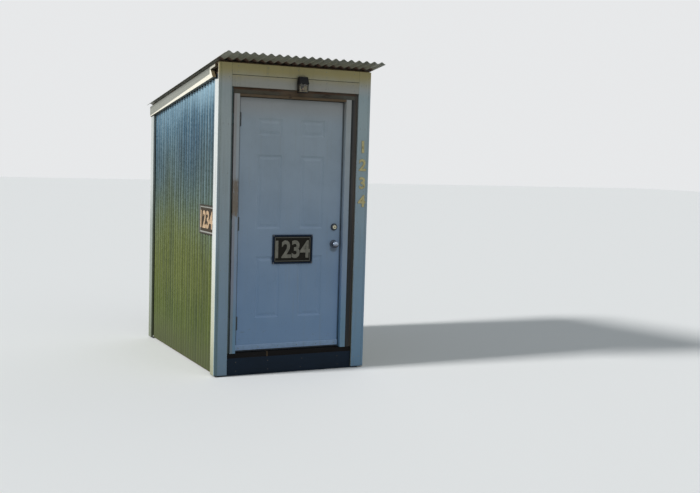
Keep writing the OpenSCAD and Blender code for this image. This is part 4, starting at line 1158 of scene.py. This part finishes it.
def dress_solids():
    board = 1.5 * MM
    stud = 2.5 * MM
    for node, finish, slot, bevel in (
        ("kick_board", "kick", "dark_painted_timber", stud),
        ("rear_rim", "frame_level", "timber", stud),
        ("side_rims", "frame_deep", "timber", stud),
        ("floor_joists", "frame_level", "timber", stud),
        ("floor_planks", "deck", "timber", board),
        ("front_posts", "frame_upright", "timber", stud),
        ("rear_posts", "frame_upright", "timber", stud),
        ("trimmer_and_shims", "old_upright", "timber", board),
        ("door_header", "old_level", "timber", stud),
        ("front_top_rail", "frame_level", "timber", stud),
        ("rear_top_rail", "frame_level", "timber", stud),
        ("side_girts", "frame_deep", "timber", stud),
        ("rear_girts", "frame_level", "timber", stud),
        ("rafters", "frame_deep", "timber", stud),
        ("roof_purlins", "frame_level", "timber", board),
        ("rake_boards", "white_rake", "painted_timber", board),
        ("front_upper_board", "white_level", "painted_timber", board),
        ("front_lower_board", "white_level", "painted_timber", board),
        ("front_corner_boards", "white_upright", "painted_timber", board),
        ("side_corner_trims", "white_upright", "painted_timber", board),
        ("rear_corner_boards", "white_upright", "painted_timber", board),
        ("rear_fascia_board", "white_level", "painted_timber", board),
        ("side_jambs", "jamb", "painted_timber", board),
        ("head_jamb", "tan_level", "timber", board),
        ("door_stops", "jamb", "painted_timber", board),
        ("door_sweep", "sweep", "painted_timber", 0.4 * MM),
    ):
        dress(node, finish, bevel)
    for node in ("left_wall_sheet_front", "left_wall_sheet_rear", "right_wall_sheet_front",
                 "right_wall_sheet_rear"):
        dress(node, "side_zinc", smooth_to=38)
    for node in ("rear_wall_sheet_left", "rear_wall_sheet_right"):
        dress(node, "rear_zinc", smooth_to=38)
    for node in ("roof_sheet_left", "roof_sheet_right"):
        dress(node, "roof", smooth_to=38)
    dress("door_slab", "door", 0.8 * MM, limit=50)
    for node in ("hinge_frame_leaves", "hinge_door_leaves"):
        dress(node, "hinge_steel", smooth_to=35)
    dress("strike_plates", "nickel", smooth_to=35)
    dress("lock_plates", "old_nickel", smooth_to=35)
    dress("door_knobs", "knob", smooth_to=35)
    dress("deadbolt", "bolt", smooth_to=35)
    dress("lamp_housing", "lamp_black", 0.6 * MM, limit=35)
    dress("lamp_glass", "pane")
    dress("door_sign", "door_plaque", 0.8 * MM)
    dress("side_sign", "side_plaque", 0.8 * MM)


# Fasteners
FRONT_BOARD_NAILS = (0.09, 0.46, 0.84, 1.22, 1.60, 1.98, 2.33)
SIDE_TRIM_NAILS = (0.10, 0.55, 1.0, 1.45, 1.9, 2.25)
REAR_TRIM_NAILS = (0.10, 0.55, 1.0, 1.45, 1.85, 2.02)
RAKE_NAILS = (0.26, 0.62, 0.98, 1.34, 1.70)
BOARD_PAIR = (22 * MM, 66 * MM)
TRIM_PAIR = (22 * MM, 67 * MM)
KICK_NAILS = (-0.46, -0.2, 0.1, 0.42)
HEADER_NAILS = (-0.505, -0.36, 0.41, 0.50)
PLANK_NAILS = (-0.48, -0.24, 0.0, 0.24, 0.48)
FASCIA_NAILS = (-0.5, -0.25, 0, 0.25, 0.5)
FIGURE_ROWS = (1.3, 1.95)
SIGN_CLEAR = (190 * MM, 130 * MM)


def steel_piece(name, mesh, finish, body="booth", smooth_to=35):
    """A small piece of plated steel."""
    finish_piece(name, mesh, finish, body, smooth_to=smooth_to)


def in_mm(*points):
    """Points written in millimetres, as metres."""
    return [tuple(value * MM for value in point) for point in points]


def ring(radius, count):
    """Evenly spaced points on a circle."""
    turns = [2 * math.pi * k / count for k in range(count)]
    return [(radius * math.cos(turn), radius * math.sin(turn)) for turn in turns]


def hex_screw():
    """A hex head on a domed washer, its seat at Z = 0."""
    washer = lathe(in_mm((0, -1), (8, -1), (8.5, 0.6), (5, 2), (0, 2.2)), 14)
    head = slab(ring(5 * MM, 6), 4.4 * MM, 0.5 * MM)
    return joined((washer, Matrix()), (head, Matrix.Translation((0, 0, 1.6 * MM))))


def nail_head():
    """A driven nail's flat head, a little proud of the paint."""
    return lathe(in_mm((0, -1), (3.2, -1), (3.4, 0.2), (2.4, 0.5), (0, 0.55)), 10)


def sink(bm, edges, depth):
    """Walls down from a loop of edges, and the floor that closes them."""
    walls = bmesh.ops.extrude_edge_only(bm, edges=edges)["geom"]
    foot = [v for v in walls if isinstance(v, bmesh.types.BMVert)]
    bmesh.ops.translate(bm, vec=(0, 0, -depth), verts=foot)
    bmesh.ops.holes_fill(bm, edges=[e for e in walls if isinstance(e, bmesh.types.BMEdge)], sides=0)


def cross_screw(radius, rise):
    """A countersunk head with a cross recess, standing "rise" proud."""
    arm = radius * 0.62
    half = radius * 0.13
    cross = [(arm, half), (half, half), (half, arm), (-half, arm), (-half, half), (-arm, half),
             (-arm, -half), (-half, -half), (-half, -arm), (half, -arm), (half, -half), (arm, -half)]
    bm = bmesh.new()
    loops = []
    for outline in (ring(radius, 16), cross):
        verts = [bm.verts.new((x, y, rise)) for x, y in outline]
        loops.append([bm.edges.new((verts[k], verts[k - 1])) for k in range(len(verts))])
    rim, recess = loops
    bmesh.ops.triangle_fill(bm, edges=rim + recess, use_beauty=True)
    sink(bm, rim, rise + 0.6 * MM)
    sink(bm, recess, rise + 0.2 * MM)
    return bm


def turn_by_chance():
    return chance.uniform(0, math.pi)


def jog(most):
    """A nail's small error of place, up to "most" millimetres either way."""
    return chance.uniform(-most, most) * MM


def roof_point(across, down_slope, lift):
    """A point "lift" over the rafters' top line, "down_slope" from the front boards' face."""
    back = down_slope * math.cos(ROOF_ANGLE) + lift * math.sin(ROOF_ANGLE)
    return (across, FRONT_Y + back, ROOF_Z - down_slope * math.sin(ROOF_ANGLE) + lift * math.cos(ROOF_ANGLE))


def add_roof_screws():
    """Roofing screws through every third crest into the purlins."""
    out = (0, math.sin(ROOF_ANGLE), math.cos(ROOF_ANGLE))
    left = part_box("roof_sheet_left")[0].x
    crest = PURLIN_SEAT + WAVE_H
    places = []
    for down_slope in PURLIN_LINES:
        for pitches in (1.5, 4.5, 7.5, 9.5, 12.5, 15.5, 18.5):
            lift = crest + (LAP_STEP if pitches > ROOF_PITCHES / 2 - 1 else 0)
            places.append(facing(roof_point(left + pitches * PITCH, down_slope, lift), out, turn_by_chance()))
    steel_piece("roof_screws", scattered("roof_screws", hex_screw(), places), "zinc_plate")


def add_wall_screws():
    """Screws in the troughs of the wall sheets, at the girts, the floor rims and the top."""
    places = []
    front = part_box("left_wall_sheet_front")[0].y
    for side in (-1, 1):
        for pitches in range(1, SIDE_PITCHES, 3):
            back = front + pitches * PITCH
            lapped = LAP_STEP if pitches > SIDE_PITCHES / 2 - 1 else 0
            top = ROOF_Z - (back - FRONT_Y) * math.tan(ROOF_ANGLE) - STUD_W - 35 * MM
            for level in (*SCREW_LEVELS, top):
                aside = (abs(back - SIDE_SIGN[0]), abs(level - SIDE_SIGN[1]))
                if side < 0 and aside[0] < SIGN_CLEAR[0] and aside[1] < SIGN_CLEAR[1]:
                    continue
                point = (side * (SHEET_FACES["X"] + lapped), back, level)
                places.append(facing(point, (side, 0, 0), turn_by_chance()))
    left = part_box("rear_wall_sheet_left")[0].x
    for pitches in range(1, REAR_PITCHES, 3):
        lapped = LAP_STEP if pitches > REAR_PITCHES / 2 - 1 else 0
        for level in (*SCREW_LEVELS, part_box("rear_fascia_board")[0].z - 40 * MM):
            point = (left + pitches * PITCH, SHEET_FACES["Y"] + lapped, level)
            places.append(facing(point, BACKWARD, turn_by_chance()))
    steel_piece("wall_screws", scattered("wall_screws", hex_screw(), places), "zinc_plate")


def corner_nails(side):
    """Nails in one side's front and rear corner boards and in the trims beside them."""
    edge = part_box("front_corner_boards")[1].x
    outwards = (side, 0, 0)
    places = []
    for level in FRONT_BOARD_NAILS:
        for inwards in BOARD_PAIR:
            shift = jog(4)
            if side > 0 and FIGURE_ROWS[0] < level < FIGURE_ROWS[1]:
                shift = -130 * MM
            places.append(facing((side * (edge - inwards), FRONT_Y, level + shift), FORWARD))
    for level in SIDE_TRIM_NAILS:
        shift = jog(5)
        for inwards, height in zip(TRIM_PAIR, (level + shift, level - shift)):
            places.append(facing((side * SIDE_X, FRONT_Y + inwards, height), outwards))
    for level in REAR_TRIM_NAILS:
        shift = jog(5)
        heights = (level + shift, level - shift)
        for inwards, height in zip(TRIM_PAIR, heights):
            places.append(facing((side * SIDE_X, REAR_Y - inwards, height), outwards))
        for inwards, height in zip(BOARD_PAIR, heights):
            places.append(facing((side * (edge - inwards), REAR_Y, height), BACKWARD))
    return places


def add_board_nails():
    """Pairs of nails through the white boards into the frame."""
    places = corner_nails(-1) + corner_nails(1)
    for node in ("front_upper_board", "front_lower_board"):
        low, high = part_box(node)
        for across in FASCIA_NAILS:
            for level in (low.z + 20 * MM, high.z - 24 * MM):
                if node == "front_lower_board" and across == 0:
                    continue
                places.append(facing((across + jog(6), low.y, level), FORWARD))
    low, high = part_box("rear_fascia_board")
    for across in FASCIA_NAILS:
        for level in (low.z + 20 * MM, high.z - 24 * MM):
            places.append(facing((across, high.y, level), BACKWARD))
    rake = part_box("rake_boards")[1].x
    for side in (-1, 1):
        for back in RAKE_NAILS:
            for drop in (20 * MM, 68 * MM):
                level = ROOF_Z - back * math.tan(ROOF_ANGLE) - drop
                places.append(facing((side * rake, FRONT_Y + back, level), (side, 0, 0)))
    steel_piece("board_nails", scattered("board_nails", nail_head(), places), "painted_head")


def add_frame_nails():
    """Nails through the kick board, the header and the floor planks."""
    places = []
    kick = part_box("kick_board")[0]
    for across in KICK_NAILS:
        for level in (0.035, 0.105):
            places.append(facing((across + jog(8), kick.y, level), FORWARD))
    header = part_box("door_header")[0]
    for across in HEADER_NAILS:
        places.append(facing((across, header.y, header.z + 30 * MM), FORWARD))
    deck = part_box("floor_planks")[1].z
    front_rim, rear_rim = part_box("side_rims")
    first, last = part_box("floor_joists")
    supports = [front_rim.y - STUD_HALF, rear_rim.y + STUD_HALF]
    for share in (0, 0.5, 1):
        supports.append(first.y + STUD_HALF + share * (last.y - first.y - 2 * STUD_HALF))
    for back in supports:
        for across in PLANK_NAILS:
            places.append(facing((across + jog(9), back, deck), UP))
    steel_piece("frame_nails", scattered("frame_nails", nail_head(), places), "hinge_steel")


def add_cross_screws(name, radius, rise, spots, body="booth"):
    """Cross-headed screws as one piece; a spot is a point, the way that the head faces and its turn."""
    places = [facing(point, out, turn) for point, out, turn in spots]
    steel_piece(name, scattered(name, cross_screw(radius, rise), places), "zinc_plate", body)


def add_sign_screws():
    """A screw near each corner of both signs."""
    inset = 7 * MM
    for node, out in (("door_sign", FORWARD), ("side_sign", LEFT)):
        low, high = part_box(node)
        spots = []
        for level in (low.z + inset, high.z - inset):
            if out is FORWARD:
                points = [(across, low.y, level) for across in (low.x + inset, high.x - inset)]
            else:
                points = [(low.x, back, level) for back in (low.y + inset, high.y - inset)]
            spots += [(point, out, turn_by_chance()) for point in points]
        add_cross_screws(node + "_screws", 4 * MM, 0.5 * MM, spots, BODY_OF[node])


def add_hinge_screws():
    """Four screws in each hinge leaf, on the jamb and on the door's edge."""
    on_jamb = []
    on_door = []
    jamb_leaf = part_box("side_jambs")[0].x + JAMB_T + LEAF_T
    slab_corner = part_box("door_slab")[0]
    for hinge in HINGE_LEVELS:
        for rise, inwards in in_mm((-38, 9), (-14, 22), (14, 9), (38, 22)):
            back = slab_corner.y + inwards
            on_jamb.append(((jamb_leaf, back, hinge + rise), RIGHT, turn_by_chance()))
            on_door.append(((slab_corner.x - LEAF_T, back, hinge + rise), LEFT, turn_by_chance()))
    add_cross_screws("hinge_frame_screws", 4 * MM, 0.25 * MM, on_jamb)
    add_cross_screws("hinge_door_screws", 4 * MM, 0.25 * MM, on_door, "door")


def add_lock_screws():
    """Two screws in each strike plate and two in each plate on the door's slanted edge."""
    on_jamb = []
    on_door = []
    jamb_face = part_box("side_jambs")[1].x - JAMB_T
    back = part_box("door_slab")[0].y + PLATE_LINE
    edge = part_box("door_slab")[1].x - PLATE_LINE * math.tan(LOCK_EDGE_ANGLE)
    slanted = (math.cos(LOCK_EDGE_ANGLE), math.sin(LOCK_EDGE_ANGLE), 0)
    for level in LOCK_LEVELS:
        for way in (-1, 1):
            on_jamb.append(((jamb_face, back, level + way * 21 * MM), LEFT, turn_by_chance()))
            on_door.append(((edge, back, level + way * 20 * MM), slanted, turn_by_chance()))
    add_cross_screws("strike_screws", 3.6 * MM, 0.3 * MM, on_jamb)
    add_cross_screws("edge_plate_screws", 3.6 * MM, 0.3 * MM, on_door, "door")


def add_sweep_screws():
    """Six screws along the strip at the door's foot."""
    low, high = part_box("door_sweep")
    inset = 30 * MM
    step = (high.x - low.x - 2 * inset) / 5
    points = [(low.x + inset + k * step, low.y, low.z + 31 * MM) for k in range(6)]
    spots = [(point, FORWARD, turn_by_chance()) for point in points]
    add_cross_screws("sweep_screws", 3.2 * MM, 0.3 * MM, spots, "door")


# Lock, lamp, signs and numbers
def bar(half_width, half_height, depth, ease):
    """An eased upright bar; all four sizes are in millimetres."""
    outline = in_mm((-half_width, -half_height), (half_width, -half_height), (half_width, half_height),
                    (-half_width, half_height))
    return slab(outline, depth * MM, ease * MM)


def add_lock_parts():
    """The latch tongue, the keyed plugs of the knob and the deadbolt, and the inner knob's snib."""
    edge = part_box("door_slab")[1].x
    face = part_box("door_slab")[0].y
    knob_z, bolt_z = LOCK_LEVELS
    tongue = slab(in_mm((0, -6), (3, 6), (-4, 6), (-4, -6)), 13 * MM, 0.5 * MM)
    in_edge = Matrix.Translation((edge - 1.3 * MM, face + 22 * MM, knob_z - 6.5 * MM))

    knob_x = middle("door_knobs").x
    outside = facing((knob_x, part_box("door_knobs")[0].y + 0.7 * MM, knob_z), FORWARD)
    inside = facing((knob_x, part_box("door_knobs")[1].y - 0.9 * MM, knob_z), BACKWARD)
    bolt_face = facing((middle("deadbolt").x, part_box("deadbolt")[0].y + 0.3 * MM, bolt_z), FORWARD)
    knob_plug = lathe(in_mm((0, -2), (6.5, -2), (6.5, 0), (5.8, 0.6), (0, 0.6)), 24)
    bolt_plug = lathe(in_mm((0, -2), (6, -2), (6, 0), (5.4, 0.5), (0, 0.5)), 24)
    for name, shape, place, finish, body, smooth_to in (
        ("latch_tongue", tongue, in_edge, "hinge_steel", "door", 35),
        ("knob_plug", knob_plug, outside, "nickel", "knob", 35),
        ("knob_keyway", bar(0.7, 3.6, 0.9, 0.2), outside, "washer", "knob", None),
        ("bolt_plug", bolt_plug, bolt_face, "washer", "door", 35),
        ("bolt_keyway", bar(0.8, 4, 0.8, 0.2), bolt_face, "washer", "door", None),
        ("knob_snib", bar(1.5, 5, 0.9, 0.3), inside, "nickel", "knob", None),
    ):
        steel_piece(name, made_mesh(name, joined((shape, place))), finish, body, smooth_to)


def add_lamp_parts():
    """A folded reflector against the lamp's back plate and a small bulb under its socket."""
    low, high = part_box("lamp_glass")
    centre = middle("lamp_glass").x
    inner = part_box("front_lower_board")[0].y - 8.2 * MM
    outline = in_mm((29, -0.9), (33, -5), (33.7, -4.7), (29.2, 0))
    fold = [(x, inner + y) for x, y in outline] + [(-x, inner + y) for x, y in reversed(outline)]
    sheet = slab(fold, high.z - low.z - 4 * MM)
    mesh = made_mesh("lamp_reflector", joined((sheet, Matrix.Translation((centre, 0, low.z + 1 * MM)))))
    finish_piece("lamp_reflector", mesh, "reflector", "booth")

    bulb = lathe(in_mm((0, 0), (4, 0.8), (7.5, 4), (9.5, 9), (9, 14), (6.5, 20), (5, 26), (0, 26)), 28)
    place = Matrix.Translation((centre, (low.y + 2 * MM + inner) / 2, high.z - 56 * MM))
    mesh = made_mesh("lamp_bulb", joined((bulb, place)))
    finish_piece("lamp_bulb", mesh, "bulb", "booth", smooth_to=50)


def figures(text, height, depth, stretch, bold):
    """Raised figures standing in X and Z, facing the front, centred on the origin, back at Y = 0."""
    curve = bpy.data.curves.new("figures", "FONT")
    curve.body = text
    curve.align_x = "CENTER"
    curve.size = 1.0
    curve.offset = bold
    curve.resolution_u = 5
    curve.extrude = 0.5
    holder = bpy.data.objects.new("figures", curve)
    bpy.context.scene.collection.objects.link(holder)
    depsgraph = bpy.context.evaluated_depsgraph_get()
    mesh = bpy.data.meshes.new_from_object(holder.evaluated_get(depsgraph))
    bpy.data.objects.remove(holder)
    bpy.data.curves.remove(curve)
    bm = bmesh.new()
    bm.from_mesh(mesh)
    bpy.data.meshes.remove(mesh)
    bmesh.ops.remove_doubles(bm, verts=bm.verts, dist=1e-5)
    low = [min(v.co[k] for v in bm.verts) for k in range(3)]
    high = [max(v.co[k] for v in bm.verts) for k in range(3)]
    scale = height / (high[1] - low[1])
    bmesh.ops.translate(bm, vec=[-(low[0] + high[0]) / 2, -(low[1] + high[1]) / 2, -low[2]], verts=bm.verts)
    bmesh.ops.scale(bm, vec=(scale * stretch, scale, depth), verts=bm.verts)
    bmesh.ops.rotate(bm, matrix=Matrix.Rotation(math.pi / 2, 3, "X"), verts=bm.verts)
    return bm


def add_house_numbers():
    """Four plain brass-coloured figures down the right front corner board."""
    parts = []
    for index, figure in enumerate("1234"):
        centre = (NUMBER_X + chance.uniform(-2, 2) * MM, FRONT_Y, NUMBER_TOP - 45 * MM - index * NUMBER_STEP)
        lean = Matrix.Rotation(math.radians(chance.uniform(-2, 2)), 4, "Y")
        parts.append((figures(figure, 98 * MM, 3 * MM, 1.02, 0.030), Matrix.Translation(centre) @ lean))
    mesh = made_mesh("house_numbers", joined(*parts))
    finish_piece("house_numbers", mesh, "brass", "booth", 0.4 * MM)


def add_sign_figures():
    """Plain figures on both signs, where the photo's have words."""
    door_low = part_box("door_sign")[0]
    side_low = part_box("side_sign")[0]
    on_door = Matrix.Translation((DOOR_SIGN[0], door_low.y + 5 * MM, DOOR_SIGN[1]))
    on_side = Matrix.Translation((side_low.x + 5 * MM, SIDE_SIGN[0], SIDE_SIGN[1]))
    on_side = on_side @ Matrix.Rotation(-math.pi / 2, 4, "Z")
    for node, place, finish in (("door_sign", on_door, "sign_tan"), ("side_sign", on_side, "side_tan")):
        name = node + "_figures"
        raised = figures("1234", 144 * MM, 2.5 * MM, 0.88, 0.030)
        mesh = made_mesh(name, joined((raised, place)))
        finish_piece(name, mesh, finish, BODY_OF[node], 0.4 * MM)


bpy.context.scene.view_settings.view_transform = "Standard"
make_camera()
make_lights()
make_floor()
dress_solids()
add_roof_screws()
add_wall_screws()
add_board_nails()
add_frame_nails()
add_sign_screws()
add_hinge_screws()
add_lock_screws()
add_sweep_screws()
add_lock_parts()
add_lamp_parts()
add_house_numbers()
add_sign_figures()
